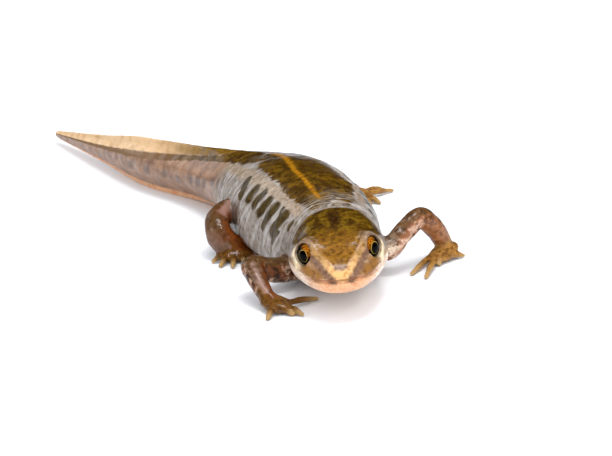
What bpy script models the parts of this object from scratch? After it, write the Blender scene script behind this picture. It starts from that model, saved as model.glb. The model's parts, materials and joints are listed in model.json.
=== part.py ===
"""Smooth newt, life size, caught in a slow walk: a still model parted into head, neck, trunk,
tail, limbs and eyes.

The body is one smooth tube of cross-sections strung along the spine. It is cut square across into
lengths. Each limb is a tapering tube with a palm and digits fused to it, cut clear of the flank
and parted at elbow and wrist, or at knee and ankle. All the sizes below are in millimetres.
"""
import math

import bmesh
import bpy
import numpy as np

MM = 0.001
# Clear space between two pieces that meet face to face
GAP = 0.3

# The newt is posed with its snout at the origin and its head facing -Y. Then the whole body is
# turned so that the line from snout to tail tip runs along +Y, and shifted so that the middle of
# its outer box, at floor level, is the origin.
HEADING = math.radians(25.0)
SHIFT = (-7.78, -33.99)

# Named places along the spine. Each one has its plan position x, y, the height of the widest line
# of the section (on the head, the line of the mouth), the half width there, and the rise to the
# back and the drop to the underside from that line. The last value tells how far the section is a
# tail blade with a fin above and below: 0 is a rounded trunk, 1 a blade.
SPINE = {
    "snout": (0.10, 0.00, 3.60, 2.60, 1.30, 1.00, 0.0),
    "nostril": (0.09, 1.10, 3.60, 2.70, 1.50, 1.30, 0.0),
    "eye": (0.05, 3.80, 3.58, 3.55, 2.60, 1.85, 0.0),
    "jaw": (0.00, 7.00, 3.52, 4.22, 3.50, 2.45, 0.0),
    "nape": (-0.05, 9.40, 3.45, 4.00, 3.93, 2.95, 0.0),
    "neck": (-0.25, 11.20, 3.35, 4.20, 4.13, 3.12, 0.0),
    "shoulder": (-0.80, 13.30, 3.20, 4.85, 4.68, 3.12, 0.0),
    "chest": (-1.60, 16.00, 3.05, 5.15, 5.27, 3.05, 0.0),
    "belly": (-3.10, 20.30, 3.00, 5.70, 5.38, 3.10, 0.0),
    "loin": (-4.60, 24.80, 3.05, 5.50, 4.72, 3.13, 0.0),
    "hip": (-6.50, 28.60, 3.10, 4.50, 3.88, 2.95, 0.0),
    "vent": (-9.20, 32.60, 3.00, 2.90, 3.30, 2.80, 0.35),
    "tail_root": (-13.20, 37.80, 2.90, 1.90, 2.72, 2.85, 0.85),
    "tail_middle": (-17.50, 42.60, 2.70, 1.45, 2.55, 2.74, 1.0),
    "tail_narrows": (-23.10, 52.00, 2.02, 0.90, 1.30, 1.57, 1.0),
    "tail_tip": (-28.60, 62.00, 1.05, 0.30, 0.30, 0.40, 1.0),
}
# The snout and the tail tip close over these lengths, as quarter ellipses
SNOUT_REACH = 2.3
SNOUT_TOP_REACH = 1.7
CHIN_REACH = 1.3
TIP_REACH = 0.8
# Superellipse powers: how square a section is across, above and below its widest line
SQUARE_TOP = 2.05
SQUARE_BELOW = 2.8
SQUARE_BELOW_HEAD = 2.2
# The head leans to its right, and the lean fades out over the neck
HEAD_LEAN = math.radians(2.6)
LEAN_ENDS = (9.0, 14.0)
# The tail's muscle fills this share of its height, and the fins are this thick
MUSCLE_SHARE = 0.62
FIN_THICKNESS = 0.56

AROUND = 36
HEAD_STEP = 0.55
TRUNK_STEP = 1.15

# Where the spine is parted, as places along it between two named stations
LENGTHS = (
    ("head", "snout", "nape"),
    ("neck", "nape", "neck"),
    ("chest", "neck", "chest"),
    ("belly", "chest", "loin"),
    ("pelvis", "loin", "vent"),
    ("tail_root", "vent", "tail_middle"),
    ("tail_middle", "tail_middle", "tail_narrows"),
    ("tail_end", "tail_narrows", "tail_tip"),
)

EYE_RADIUS = 1.08
# The clear front of the eye bulges: a smaller ball, set forwards
CORNEA_RADIUS = 0.78
CORNEA_OFFSET = 0.50
# Eye centre from the spine: along it, to the side, and above the line of the mouth
EYE_PLACE = (4.15, 2.35, 1.55)
# Direction of sight, as an angle out from straight ahead and an angle up
EYE_OUT = math.radians(50.0)
EYE_UP = math.radians(8.0)
# The lids are a mound over the eye with a round opening that widens outwards
LID_RADIUS = 1.50
OPENING_RADIUS = 0.92
OPENING_FLARE = 0.16

MOUTH_WIDTH = 0.26
MOUTH_DEPTH = 0.28
MOUTH_CORNER = 5.9
NOSTRIL_RADIUS = 0.22
NOSTRIL_PLACE = (0.50, 0.66, 1.02)

# Limb joints, each with its place and the limb's radius there, from inside the body to the wrist
# or ankle
LIMBS = {
    "arm_right": (
        ((-2.6, 12.6, 2.5), 1.45),
        ((-4.1, 10.9, 1.55), 1.25),
        ((-5.9, 9.2, 2.0), 1.08),
        ((-7.5, 8.2, 2.75), 0.95),
        ((-7.0, 6.4, 2.0), 0.82),
        ((-6.35, 4.9, 1.10), 0.68),
    ),
    "arm_left": (
        ((2.4, 13.4, 2.8), 1.30),
        ((4.3, 12.0, 2.2), 1.02),
        ((5.9, 13.0, 3.3), 0.92),
        ((7.6, 14.1, 4.25), 0.95),
        ((8.6, 15.0, 2.8), 0.92),
        ((9.45, 15.6, 1.15), 0.74),
    ),
    "leg_right": (
        ((-5.6, 26.4, 2.6), 1.35),
        ((-8.2, 23.7, 2.6), 1.45),
        ((-10.0, 22.3, 3.5), 1.12),
        ((-10.9, 20.5, 3.0), 1.10),
        ((-10.5, 19.4, 2.0), 1.22),
        ((-9.5, 19.2, 1.10), 1.20),
    ),
    "leg_left": (
        ((-4.4, 28.0, 3.2), 1.50),
        ((-1.4, 29.2, 2.9), 1.30),
        ((0.4, 30.6, 2.2), 1.00),
        ((1.2, 32.0, 1.7), 0.88),
        ((1.7, 33.1, 1.4), 0.85),
        ((2.1, 33.8, 1.00), 0.80),
    ),
}
# Each palm or sole: its middle, the point it is broadest towards, half breadth and half thickness
PALMS = {
    "arm_right": ((-5.6, 4.3, 0.62), (-4.8, 3.4, 0.50), 1.15, 0.62),
    "arm_left": ((9.5, 14.9, 0.62), (8.8, 13.6, 0.50), 1.15, 0.60),
    "leg_right": ((-9.2, 18.7, 0.62), (-9.2, 17.8, 0.48), 1.75, 0.60),
    "leg_left": ((2.6, 33.8, 0.62), (3.4, 33.6, 0.50), 1.45, 0.60),
}
# Digit tips on the floor, from the innermost digit outwards
DIGITS = {
    "arm_right": ((-2.1, 6.1), (-3.4, 2.35), (-4.25, 2.6), (-6.35, 1.95)),
    "arm_left": ((6.35, 10.8), (7.5, 9.6), (8.75, 12.1), (11.2, 14.7)),
    "leg_right": ((-7.5, 18.3), (-8.3, 16.7), (-9.4, 16.0), (-10.5, 16.5), (-11.2, 17.8)),
    "leg_left": ((2.7, 31.5), (3.7, 31.4), (4.6, 32.0), (6.0, 35.7), (4.9, 36.7)),
}
DIGIT_RADIUS = 0.33
DIGIT_TIP_RADIUS = 0.20
# Height of a digit's middle line at its root and at its knuckle
DIGIT_ROOT_HEIGHT = 0.45
KNUCKLE_HEIGHT = 0.46

# Each limb's pieces. The first one ends at the middle joint and the second at the last one
NAMES = {
    "arm_right": ("upper_arm_right", "forearm_right", "hand_right"),
    "arm_left": ("upper_arm_left", "forearm_left", "hand_left"),
    "leg_right": ("thigh_right", "shin_right", "foot_right"),
    "leg_left": ("thigh_left", "shin_left", "foot_left"),
}
MIDDLE_JOINT = 3

COLOURS = {
    "back": ((0.20, 0.15, 0.05), 0.35),
    "tail": ((0.42, 0.29, 0.17), 0.40),
    "limb": ((0.24, 0.12, 0.06), 0.38),
    "digit": ((0.36, 0.26, 0.08), 0.42),
    "iris": ((0.55, 0.30, 0.05), 0.12),
}


def pchip(knots, values, at):
    """Smooth curve through values at knots that never overshoots between two of them.

    The slope at each knot is the weighted harmonic mean of the slopes on both sides, or nought
    where they differ in sign, and cubic Hermite pieces join the knots.
    """
    knots = np.asarray(knots, float)
    values = np.asarray(values, float)
    step = np.diff(knots)
    rate = np.diff(values) / step
    slope = np.zeros(len(knots))
    slope[0] = rate[0]
    slope[-1] = rate[-1]
    before = 2 * step[1:] + step[:-1]
    after = step[1:] + 2 * step[:-1]
    same = rate[:-1] * rate[1:] > 0
    first = np.where(same, rate[:-1], 1.0)
    second = np.where(same, rate[1:], 1.0)
    slope[1:-1] = np.where(same, (before + after) / (before / first + after / second), 0.0)
    at = np.asarray(at, float)
    piece = np.clip(np.searchsorted(knots, at, side="right") - 1, 0, len(step) - 1)
    size = step[piece]
    t = (at - knots[piece]) / size
    return (
        values[piece] * (2 * t**3 - 3 * t**2 + 1)
        + values[piece + 1] * (3 * t**2 - 2 * t**3)
        + slope[piece] * size * (t**3 - 2 * t**2 + t)
        + slope[piece + 1] * size * (t**3 - t**2)
    )


STATIONS = np.array(list(SPINE.values()))
# Distance of each named station along the spine, from straight runs between their plan positions
PLACES = np.concatenate(([0.0], np.cumsum(np.hypot(*np.diff(STATIONS[:, :2], axis=0).T))))
PLACE = dict(zip(SPINE, PLACES))
LENGTH = PLACES[-1]


def quarter(distance, reach):
    """Share of full size, nought at the end of a body and one at reach from it: an ellipse."""
    short = 1.0 - np.clip(distance / reach, 0.0, 1.0)
    return np.sqrt(np.clip(1.0 - short**2, 0.0, 1.0))


def head_lean(along):
    """Lean of the body's section at places along the spine: full on the head, none on the trunk."""
    return pchip((0.0, *LEAN_ENDS, LENGTH), (HEAD_LEAN, HEAD_LEAN, 0.0, 0.0), along)


def sections(along, around, swell=0.0):
    """Points of the body's surface for places along the spine and angles around it.

    Angle 0 is the newt's left side on the widest line, a quarter turn is the midline of the back.
    A section is a superellipse that turns into a blade, a thick core with a thin fin, on the tail.
    Swell moves the surface outwards.
    """
    along = np.atleast_1d(np.asarray(along, float))
    at = np.clip(along, 0.0, LENGTH)
    x, y, level, half, rise, drop, blade = (
        pchip(PLACES, column, at)[:, None] for column in STATIONS.T
    )
    ahead = pchip(PLACES, STATIONS[:, 0], at + 0.2) - pchip(PLACES, STATIONS[:, 0], at - 0.2)
    back = pchip(PLACES, STATIONS[:, 1], at + 0.2) - pchip(PLACES, STATIONS[:, 1], at - 0.2)
    turn = np.arctan2(-ahead, back)[:, None]
    tip = quarter(LENGTH - at, TIP_REACH)[:, None]
    half = half * quarter(at, SNOUT_REACH)[:, None] * tip + swell
    rise = rise * quarter(at, SNOUT_TOP_REACH)[:, None] * tip + swell
    drop = drop * quarter(at, CHIN_REACH)[:, None] * tip + swell
    cosine = np.cos(around)[None, :]
    sine = np.sin(around)[None, :]
    below = pchip((0.0, *LEAN_ENDS, LENGTH), (SQUARE_BELOW_HEAD,) * 2 + (SQUARE_BELOW,) * 2, at)[:, None]
    square = np.where(sine >= 0, SQUARE_TOP, below)
    height = np.where(sine >= 0, rise, drop)
    up = height * np.sign(sine) * np.abs(sine) ** (2.0 / square)
    trunk = half * np.abs(cosine) ** (2.0 / square)
    fin = np.minimum(FIN_THICKNESS / 2 + swell, half)
    core = np.exp(-((np.abs(up) / (MUSCLE_SHARE * height + 1e-9)) ** 3))
    edge = np.clip(np.abs(cosine), 0.0, 1.0) ** 0.4
    tail = (half - fin) * core * np.abs(cosine) ** 0.5 + fin * edge
    out = np.sign(cosine) * ((1 - blade) * trunk + blade * tail)
    lean = head_lean(at)[:, None]
    out, up = out * np.cos(lean) - up * np.sin(lean), out * np.sin(lean) + up * np.cos(lean)
    points = np.empty(out.shape + (3,))
    points[..., 0] = x + out * np.cos(turn)
    points[..., 1] = y + out * np.sin(turn)
    points[..., 2] = level + up
    return points, np.stack(np.broadcast_arrays(x, y, level), -1)[:, 0, :]


def place(points):
    """Turn and shift a point or points from the pose's own axes into the part's, in metres."""
    points = np.asarray(points, float)
    out = np.empty(points.shape)
    out[..., 0] = points[..., 0] * math.cos(HEADING) + points[..., 1] * math.sin(HEADING)
    out[..., 1] = points[..., 1] * math.cos(HEADING) - points[..., 0] * math.sin(HEADING)
    out[..., 0] += SHIFT[0]
    out[..., 1] += SHIFT[1]
    out[..., 2] = points[..., 2]
    return out * MM


def make_object(name, points, faces):
    """Object from points in the pose's axes and faces, turned outwards."""
    mesh = bpy.data.meshes.new(name)
    mesh.from_pydata(place(points).tolist(), [], faces)
    work = bmesh.new()
    work.from_mesh(mesh)
    bmesh.ops.recalc_face_normals(work, faces=work.faces)
    work.to_mesh(mesh)
    work.free()
    obj = bpy.data.objects.new(name, mesh)
    bpy.context.scene.collection.objects.link(obj)
    return obj


def skin_rows(rows, first=None, last=None):
    """Triangles that join rows of points into a closed tube, with a centre point at each end.

    The diagonals of the left half mirror those of the right, so a thin blade has its triangles
    alike on both faces.
    """
    rows = np.asarray(rows)
    count, sides = rows.shape[:2]
    points = rows.reshape(-1, 3).tolist()
    faces = []
    for i in range(count - 1):
        for j in range(sides):
            a = i * sides + j
            b = i * sides + (j + 1) % sides
            c = b + sides
            d = a + sides
            right = sides / 4 <= j < 3 * sides / 4
            faces += [(a, b, c), (a, c, d)] if right else [(a, b, d), (b, c, d)]
    for row, centre in ((0, first), (count - 1, last)):
        middle = rows[row].mean(axis=0) if centre is None else centre
        points.append(list(middle))
        base = row * sides
        for j in range(sides):
            faces.append((base + j, base + (j + 1) % sides, len(points) - 1))
    return points, faces


def body_length(name, start, end, swell=0.0):
    """One length of the body, from start to end along the spine, flat where it lies on the floor."""
    gaps = (0.0 if start <= 0 else GAP / 2, 0.0 if end >= LENGTH else GAP / 2)
    low = max(start + gaps[0] - swell, 0.0)
    high = min(end - gaps[1] + swell, LENGTH)
    step = HEAD_STEP if high < PLACE["neck"] else TRUNK_STEP
    along = np.linspace(low, high, max(3, round((high - low) / step) + 1))
    if low <= 0:
        nose = np.array([0.05, 0.2, 0.42, 0.75, 1.15])
        along = np.concatenate((nose, np.linspace(1.6, high, round((high - 1.6) / step) + 1)))
    if high >= LENGTH:
        tip = LENGTH - np.array([0.75, 0.45, 0.2, 0.04])
        along = np.concatenate((along[along < LENGTH - 1.0], tip))
    around = np.arange(AROUND) * 2 * math.pi / AROUND
    rows, axis = sections(along, around, swell)
    if swell == 0:
        rows[..., 2] = np.maximum(rows[..., 2], 0.0)
    first = sections([0.0], around)[1][0] if low <= 0 and swell == 0 else axis[0]
    last = sections([LENGTH], around)[1][0] if high >= LENGTH and swell == 0 else axis[-1]
    points, faces = skin_rows(rows, first, last)
    return make_object(name, points, faces)


def tube(name, joints, radii, sides=12, step=0.7, swell=0.0):
    """Closed tube through joints, with the radius given at each, and round ends.

    The path is a smooth curve through the joints, and each ring is square to it. Swell moves the
    surface outwards.
    """
    joints = np.array(joints, float)
    knots = np.concatenate(([0.0], np.cumsum(np.linalg.norm(np.diff(joints, axis=0), axis=1))))
    count = max(4, round(knots[-1] / step) + 1)
    at = np.linspace(0.0, knots[-1], count)
    path = np.stack([pchip(knots, joints[:, k], at) for k in range(3)], axis=1)
    radius = pchip(knots, radii, at) + swell
    ahead = np.gradient(path, axis=0)
    ahead /= np.linalg.norm(ahead, axis=1)[:, None]
    # Rounded ends: two more rings, drawn in and pushed out
    ends = []
    for index, sign in ((0, -1.0), (-1, 1.0)):
        for angle in (35.0, 68.0):
            lift = sign * radius[index] * 0.8 * math.sin(math.radians(angle))
            ends.append((path[index] + ahead[index] * lift, radius[index] * math.cos(math.radians(angle))))
    path = np.vstack((ends[1][0], ends[0][0], path, ends[2][0], ends[3][0]))
    radius = np.concatenate(([ends[1][1], ends[0][1]], radius, [ends[2][1], ends[3][1]]))
    ahead = np.vstack((ahead[:1], ahead[:1], ahead, ahead[-1:], ahead[-1:]))
    side = np.array([ahead[0][1], -ahead[0][0], 0.0])
    side /= np.linalg.norm(side)
    rows = []
    turn = np.arange(sides) * 2 * math.pi / sides
    for point, size, forward in zip(path, radius, ahead):
        side = side - forward * (side @ forward)
        side /= np.linalg.norm(side)
        up = np.cross(side, forward)
        ring = np.cos(turn)[:, None] * side + np.sin(turn)[:, None] * up
        rows.append(point + size * ring)
    points, faces = skin_rows(np.array(rows))
    return make_object(name, points, faces)


def palm(name, middle, front, breadth, thickness):
    """Flattened pad under a wrist or ankle: a squashed ball drawn out towards the digits."""
    middle = np.array(middle)
    front = np.array(front)
    ahead = (front - middle) / np.linalg.norm(front - middle)
    side = np.array([ahead[1], -ahead[0], 0.0])
    reach = np.linalg.norm(front - middle) + 0.35
    rows = []
    turn = np.arange(12) * 2 * math.pi / 12
    for angle in np.linspace(-75.0, 75.0, 7):
        part = math.radians(angle)
        centre = middle + ahead * reach * math.sin(part)
        size = math.cos(part) ** 0.7
        rows.append(
            centre
            + np.cos(turn)[:, None] * side * breadth * size
            + np.sin(turn)[:, None] * np.array([0.0, 0.0, thickness * size])
        )
    points, faces = skin_rows(np.array(rows))
    return make_object(name, points, faces)


def digit_roots(limb):
    """Where the digits of a limb start, fanned across the front of the palm."""
    middle, front, breadth, _ = PALMS[limb]
    tips = np.array(DIGITS[limb])
    middle = np.array(middle[:2])
    ahead = np.array(front[:2]) - middle
    across = np.array([ahead[1], -ahead[0]]) / np.linalg.norm(ahead)
    across *= np.sign((tips[-1] - tips[0]) @ across)
    fan = np.linspace(-1.0, 1.0, len(tips))[:, None]
    return middle + ahead * (0.9 - 0.6 * fan**2) + across * fan * breadth * 0.62


def digit(name, root, tip):
    """One digit, from within the palm, arched, to its tip on the floor."""
    start = np.array([root[0], root[1], DIGIT_ROOT_HEIGHT])
    end = np.array([tip[0], tip[1], DIGIT_TIP_RADIUS - 0.02])
    knuckle = 0.5 * (start + end)
    knuckle[2] = KNUCKLE_HEIGHT
    radii = (DIGIT_RADIUS, DIGIT_RADIUS * 0.9, DIGIT_TIP_RADIUS)
    return tube(name, (start, knuckle, end), radii, sides=8, step=0.55)


def drop_object(obj):
    """Remove an object that is no longer needed."""
    bpy.data.objects.remove(obj, do_unlink=True)


def boolean(target, tools, operation):
    """Join tools to the target, or cut them away, and remove the tools."""
    group = bpy.data.collections.new("tools")
    bpy.context.scene.collection.children.link(group)
    for tool in tools:
        for owner in tool.users_collection:
            owner.objects.unlink(tool)
        group.objects.link(tool)
    step = target.modifiers.new(operation.title(), "BOOLEAN")
    step.operation = operation
    step.operand_type = "COLLECTION"
    step.collection = group
    step.solver = "EXACT"
    bpy.context.view_layer.update()
    shape = target.evaluated_get(bpy.context.evaluated_depsgraph_get())
    mesh = bpy.data.meshes.new_from_object(shape)
    target.modifiers.clear()
    target.data = mesh
    for tool in list(group.objects):
        drop_object(tool)
    bpy.data.collections.remove(group)
    return target


def islands(obj):
    """Split an object into its separate closed surfaces, largest first."""
    work = bmesh.new()
    work.from_mesh(obj.data)
    seen = set()
    groups = []
    for vert in work.verts:
        if vert in seen:
            continue
        queue = [vert]
        seen.add(vert)
        group = []
        while queue:
            here = queue.pop()
            group.append(here)
            for edge in here.link_edges:
                there = edge.other_vert(here)
                if there not in seen:
                    seen.add(there)
                    queue.append(there)
        groups.append(group)
    found = []
    for group in groups:
        order = {vert: k for k, vert in enumerate(group)}
        points = [vert.co.copy() for vert in group]
        faces = [
            [order[vert] for vert in face.verts] for face in work.faces if face.verts[0] in order
        ]
        mesh = bpy.data.meshes.new(obj.name)
        mesh.from_pydata(points, [], faces)
        piece = bpy.data.objects.new(obj.name, mesh)
        bpy.context.scene.collection.objects.link(piece)
        found.append((volume(piece), piece))
    work.free()
    found.sort(key=lambda item: -item[0])
    return [piece for _, piece in found]


def volume(obj):
    """Volume inside an object's surface, in cubic metres."""
    work = bmesh.new()
    work.from_mesh(obj.data)
    bmesh.ops.triangulate(work, faces=work.faces)
    size = work.calc_volume()
    work.free()
    return size


def keep_largest(obj):
    """Keep only the largest closed surface of an object."""
    pieces = islands(obj)
    name = obj.name
    drop_object(obj)
    for piece in pieces[1:]:
        drop_object(piece)
    pieces[0].name = name
    return pieces[0]


def ball(name, centre, radius, stretch=(1.0, 1.0, 1.0), rings=10, sides=16):
    """Ball, or a stretched one, as rings from pole to pole."""
    turn = np.arange(sides) * 2 * math.pi / sides
    rows = []
    for angle in np.linspace(-90.0, 90.0, rings + 1)[1:-1]:
        part = math.radians(angle)
        ring = np.stack(
            (np.cos(turn) * math.cos(part), np.sin(turn) * math.cos(part), np.full(sides, math.sin(part))),
            axis=1,
        )
        rows.append(np.array(centre) + radius * ring * np.array(stretch))
    lift = np.array((0.0, 0.0, radius * stretch[2]))
    points, faces = skin_rows(np.array(rows), np.array(centre) - lift, np.array(centre) + lift)
    return make_object(name, points, faces)


def head_point(along, side, above):
    """Point in the head, from the place along the spine, the side step and the mouth's level."""
    x, y, level = (pchip(PLACES, STATIONS[:, k], along) for k in range(3))
    lean = float(head_lean(along))
    out = side * math.cos(lean) - above * math.sin(lean)
    up = side * math.sin(lean) + above * math.cos(lean)
    return np.array([x + out, y, level + up])


def gaze(hand):
    """Direction of sight of one eye. Hand is 1 for the left eye and -1 for the right one."""
    flat = math.cos(EYE_UP)
    return np.array([hand * math.sin(EYE_OUT) * flat, -math.cos(EYE_OUT) * flat, math.sin(EYE_UP)])


def eyeball(name, hand):
    """One eye: a ball with a smaller ball bulging at its front, as rings round the line of sight."""
    sight = gaze(hand)
    centre = head_point(EYE_PLACE[0], hand * EYE_PLACE[1], EYE_PLACE[2])
    side = np.cross(sight, (0.0, 0.0, 1.0))
    side /= np.linalg.norm(side)
    up = np.cross(side, sight)
    turn = np.arange(16) * 2 * math.pi / 16
    rows = []
    for angle in (170.0, 150.0, 125.0, 100.0, 75.0, 58.0, 46.0, 34.0, 22.0, 10.0):
        part = math.radians(angle)
        reach = EYE_RADIUS
        inside = CORNEA_RADIUS**2 - (CORNEA_OFFSET * math.sin(part)) ** 2
        if part < math.pi / 2 and inside > 0:
            reach = max(reach, CORNEA_OFFSET * math.cos(part) + math.sqrt(inside))
        ring = np.cos(turn)[:, None] * side + np.sin(turn)[:, None] * up
        rows.append(centre + reach * (math.cos(part) * sight + math.sin(part) * ring))
    front = centre + sight * (CORNEA_OFFSET + CORNEA_RADIUS)
    points, faces = skin_rows(np.array(rows), centre - sight * EYE_RADIUS, front)
    return make_object(name, points, faces)


def lid_opening(name, hand):
    """Tapered plug along the line of sight, cut away to open the lids."""
    sight = gaze(hand)
    centre = head_point(EYE_PLACE[0], hand * EYE_PLACE[1], EYE_PLACE[2])
    ends = (centre + sight * 0.6, centre + sight * 2.2)
    radii = (OPENING_RADIUS - OPENING_FLARE / 2, OPENING_RADIUS + OPENING_FLARE)
    return tube(name, ends, radii, sides=16, step=0.8)


def mouth_groove(name):
    """Narrow bar bent round the snout along the line of the mouth, to be cut away."""
    along = np.concatenate((np.array([0.02, 0.12, 0.35, 0.75, 1.3, 2.0, 2.8]), np.arange(3.6, MOUTH_CORNER, 0.8)))
    left = sections(along, np.array([0.0]))[0][:, 0]
    right = sections(along, np.array([math.pi]))[0][:, 0]
    line = np.vstack((right[::-1], left))
    ahead = np.gradient(line, axis=0)
    ahead /= np.linalg.norm(ahead, axis=1)[:, None]
    out = np.stack((-ahead[:, 1], ahead[:, 0], np.zeros(len(line))), axis=1)
    inwards = np.array([0.0, 5.0, 0.0]) - line
    out *= -np.sign((out * inwards).sum(axis=1))[:, None]
    rows = []
    for depth, lift in ((-MOUTH_DEPTH, -0.5), (0.6, -0.5), (0.6, 0.5), (-MOUTH_DEPTH, 0.5)):
        rows.append(line + out * depth + np.array([0.0, 0.0, lift * MOUTH_WIDTH]))
    points, faces = skin_rows(np.swapaxes(np.array(rows), 0, 1))
    return make_object(name, points, faces)


def floor_block(name):
    """Block under the floor, which trims what rests on it to small flats."""
    corners = [(x, y, z) for z in (-6.0, 0.0) for x, y in ((-60, -20), (40, -20), (40, 90), (-60, 90))]
    faces = [(0, 1, 2, 3), (4, 5, 6, 7), (0, 1, 5, 4), (1, 2, 6, 5), (2, 3, 7, 6), (3, 0, 4, 7)]
    return make_object(name, corners, faces)


def material(name):
    """Principled material of one kind of skin."""
    if name in bpy.data.materials:
        return bpy.data.materials[name]
    colour, rough = COLOURS[name]
    skin = bpy.data.materials.new(name)
    skin.use_nodes = True
    shader = skin.node_tree.nodes["Principled BSDF"]
    shader.inputs["Base Color"].default_value = (*colour, 1.0)
    shader.inputs["Roughness"].default_value = rough
    shader.inputs["Metallic"].default_value = 0.0
    return skin


def finish(obj, skin):
    """Give a finished piece its material and smooth shading."""
    obj.data.materials.clear()
    obj.data.materials.append(material(skin))
    obj.data.shade_smooth()
    obj.data.set_sharp_from_angle(angle=math.radians(40.0))


def build_head(head):
    """Raise the lids on the head, then cut the sockets, nostrils and line of the mouth."""
    mounds = []
    cutters = [mouth_groove("mouth")]
    for hand in (1, -1):
        eye = head_point(EYE_PLACE[0], hand * EYE_PLACE[1], EYE_PLACE[2])
        mounds.append(ball("lids", eye, LID_RADIUS, rings=12, sides=20))
        cutters.append(ball("socket", eye, EYE_RADIUS + GAP))
        cutters.append(lid_opening("opening", hand))
        hole = head_point(NOSTRIL_PLACE[0], hand * NOSTRIL_PLACE[1], NOSTRIL_PLACE[2])
        cutters.append(ball("nostril", hole, NOSTRIL_RADIUS, rings=6, sides=8))
    boolean(head, mounds, "UNION")
    boolean(head, cutters, "DIFFERENCE")
    return keep_largest(head)


def build_limb(limb):
    """One limb in three pieces, each a tube cut clear of the piece before it.

    The first piece is cut clear of the flank, and the last one carries the palm and digits. All
    are trimmed at the floor.
    """
    joints = [joint for joint, _ in LIMBS[limb]]
    radii = [radius for _, radius in LIMBS[limb]]
    middle, front, breadth, thickness = PALMS[limb]
    bend = MIDDLE_JOINT
    runs = (
        (joints[: bend + 1], radii[: bend + 1]),
        (joints[bend:], radii[bend:]),
        ((joints[-1], middle), (radii[-1] * 0.98, thickness)),
    )
    parts = []
    for index, (name, (points, sizes)) in enumerate(zip(NAMES[limb], runs)):
        piece = tube(name, points, sizes)
        if index == 2:
            pads = [palm("palm", middle, front, breadth, thickness)]
            pads += [digit("digit", *ends) for ends in zip(digit_roots(limb), DIGITS[limb])]
            boolean(piece, pads, "UNION")
        cutters = [floor_block("floor"), body_length("flank", 0.0, LENGTH, GAP)]
        for before in range(index):
            cutters.append(tube("clear", *runs[before], swell=GAP))
        boolean(piece, cutters, "DIFFERENCE")
        parts.append(keep_largest(piece))
    return parts


def build_newt():
    """The whole animal."""
    for name, start, end in LENGTHS:
        piece = body_length(name, PLACE[start], PLACE[end])
        if name == "head":
            piece = build_head(piece)
        finish(piece, "tail" if name.startswith("tail") else "back")
    for limb in LIMBS:
        upper, lower, end = build_limb(limb)
        finish(upper, "limb")
        finish(lower, "limb")
        finish(end, "digit")
    for name, hand in (("eye_left", 1), ("eye_right", -1)):
        finish(eyeball(name, hand), "iris")


def main():
    """Clear the file's own objects and build the newt."""
    for obj in list(bpy.data.objects):
        bpy.data.objects.remove(obj, do_unlink=True)
    build_newt()


main()
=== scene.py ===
# %% [markdown]
# # A smooth newt, dressed
# The solids of a smooth newt are already packed: a head, lengths of trunk and tail, limbs in three
# pieces each, and two eyes. They hold the sizes and the pose. This file lays one living skin over
# all of them, sets two wet eyes into it, and lights the animal on a pale table. A museum model
# maker works in the same order: armature first, then the skin, then the paint, then the varnish.

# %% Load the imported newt
import json
import math

import bmesh
import bpy
import numpy as np
from mathutils import Matrix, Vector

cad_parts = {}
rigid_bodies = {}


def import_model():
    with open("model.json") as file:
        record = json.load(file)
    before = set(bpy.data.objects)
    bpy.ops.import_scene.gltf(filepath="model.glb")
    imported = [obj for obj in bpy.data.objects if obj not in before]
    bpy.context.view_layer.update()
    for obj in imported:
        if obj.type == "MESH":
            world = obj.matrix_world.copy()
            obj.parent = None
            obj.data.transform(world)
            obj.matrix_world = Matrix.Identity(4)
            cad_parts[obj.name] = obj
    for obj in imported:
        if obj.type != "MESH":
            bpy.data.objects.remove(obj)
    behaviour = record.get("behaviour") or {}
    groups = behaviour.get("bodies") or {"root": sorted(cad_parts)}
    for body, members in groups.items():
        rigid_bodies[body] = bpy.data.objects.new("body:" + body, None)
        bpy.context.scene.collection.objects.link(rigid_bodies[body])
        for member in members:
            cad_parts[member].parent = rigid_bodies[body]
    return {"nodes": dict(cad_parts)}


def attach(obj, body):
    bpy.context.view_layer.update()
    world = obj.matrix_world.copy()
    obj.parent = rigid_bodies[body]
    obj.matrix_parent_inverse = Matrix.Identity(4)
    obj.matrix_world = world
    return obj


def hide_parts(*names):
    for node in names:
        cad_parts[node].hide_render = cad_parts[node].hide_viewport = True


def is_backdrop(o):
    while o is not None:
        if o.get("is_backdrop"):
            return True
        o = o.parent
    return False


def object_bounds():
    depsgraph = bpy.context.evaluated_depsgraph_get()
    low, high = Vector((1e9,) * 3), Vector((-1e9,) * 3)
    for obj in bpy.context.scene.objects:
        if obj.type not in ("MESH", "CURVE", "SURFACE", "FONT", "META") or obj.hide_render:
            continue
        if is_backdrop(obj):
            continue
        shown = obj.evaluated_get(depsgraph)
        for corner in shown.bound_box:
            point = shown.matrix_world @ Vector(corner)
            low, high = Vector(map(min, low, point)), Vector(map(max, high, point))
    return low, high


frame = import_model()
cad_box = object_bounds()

print("nodes:", len(frame["nodes"]), "box in mm:", [round(v * 1000, 2) for v in cad_box[1]])

# %% [markdown]
# ## Units and pose
# Every shape is worked out in millimetres, in the animal's own axes: the snout is the origin, the
# head faces -Y, its left is +X and up is +Z. One function turns and shifts finished points into the
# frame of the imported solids, in metres, so a number in the code can be read off with a ruler.

# %% Units and pose
MM = 0.001
HEADING = math.radians(25.0)
SHIFT = (-7.78, -33.99)
LEFT, RIGHT = 1, -1


def place(points):
    """Points of the pose, turned clockwise by the heading, shifted, and scaled to metres."""
    points = np.asarray(points, float)
    out = np.empty(points.shape)
    out[..., 0] = points[..., 0] * math.cos(HEADING) + points[..., 1] * math.sin(HEADING) + SHIFT[0]
    out[..., 1] = points[..., 1] * math.cos(HEADING) - points[..., 0] * math.sin(HEADING) + SHIFT[1]
    out[..., 2] = points[..., 2]
    return out * MM


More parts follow.
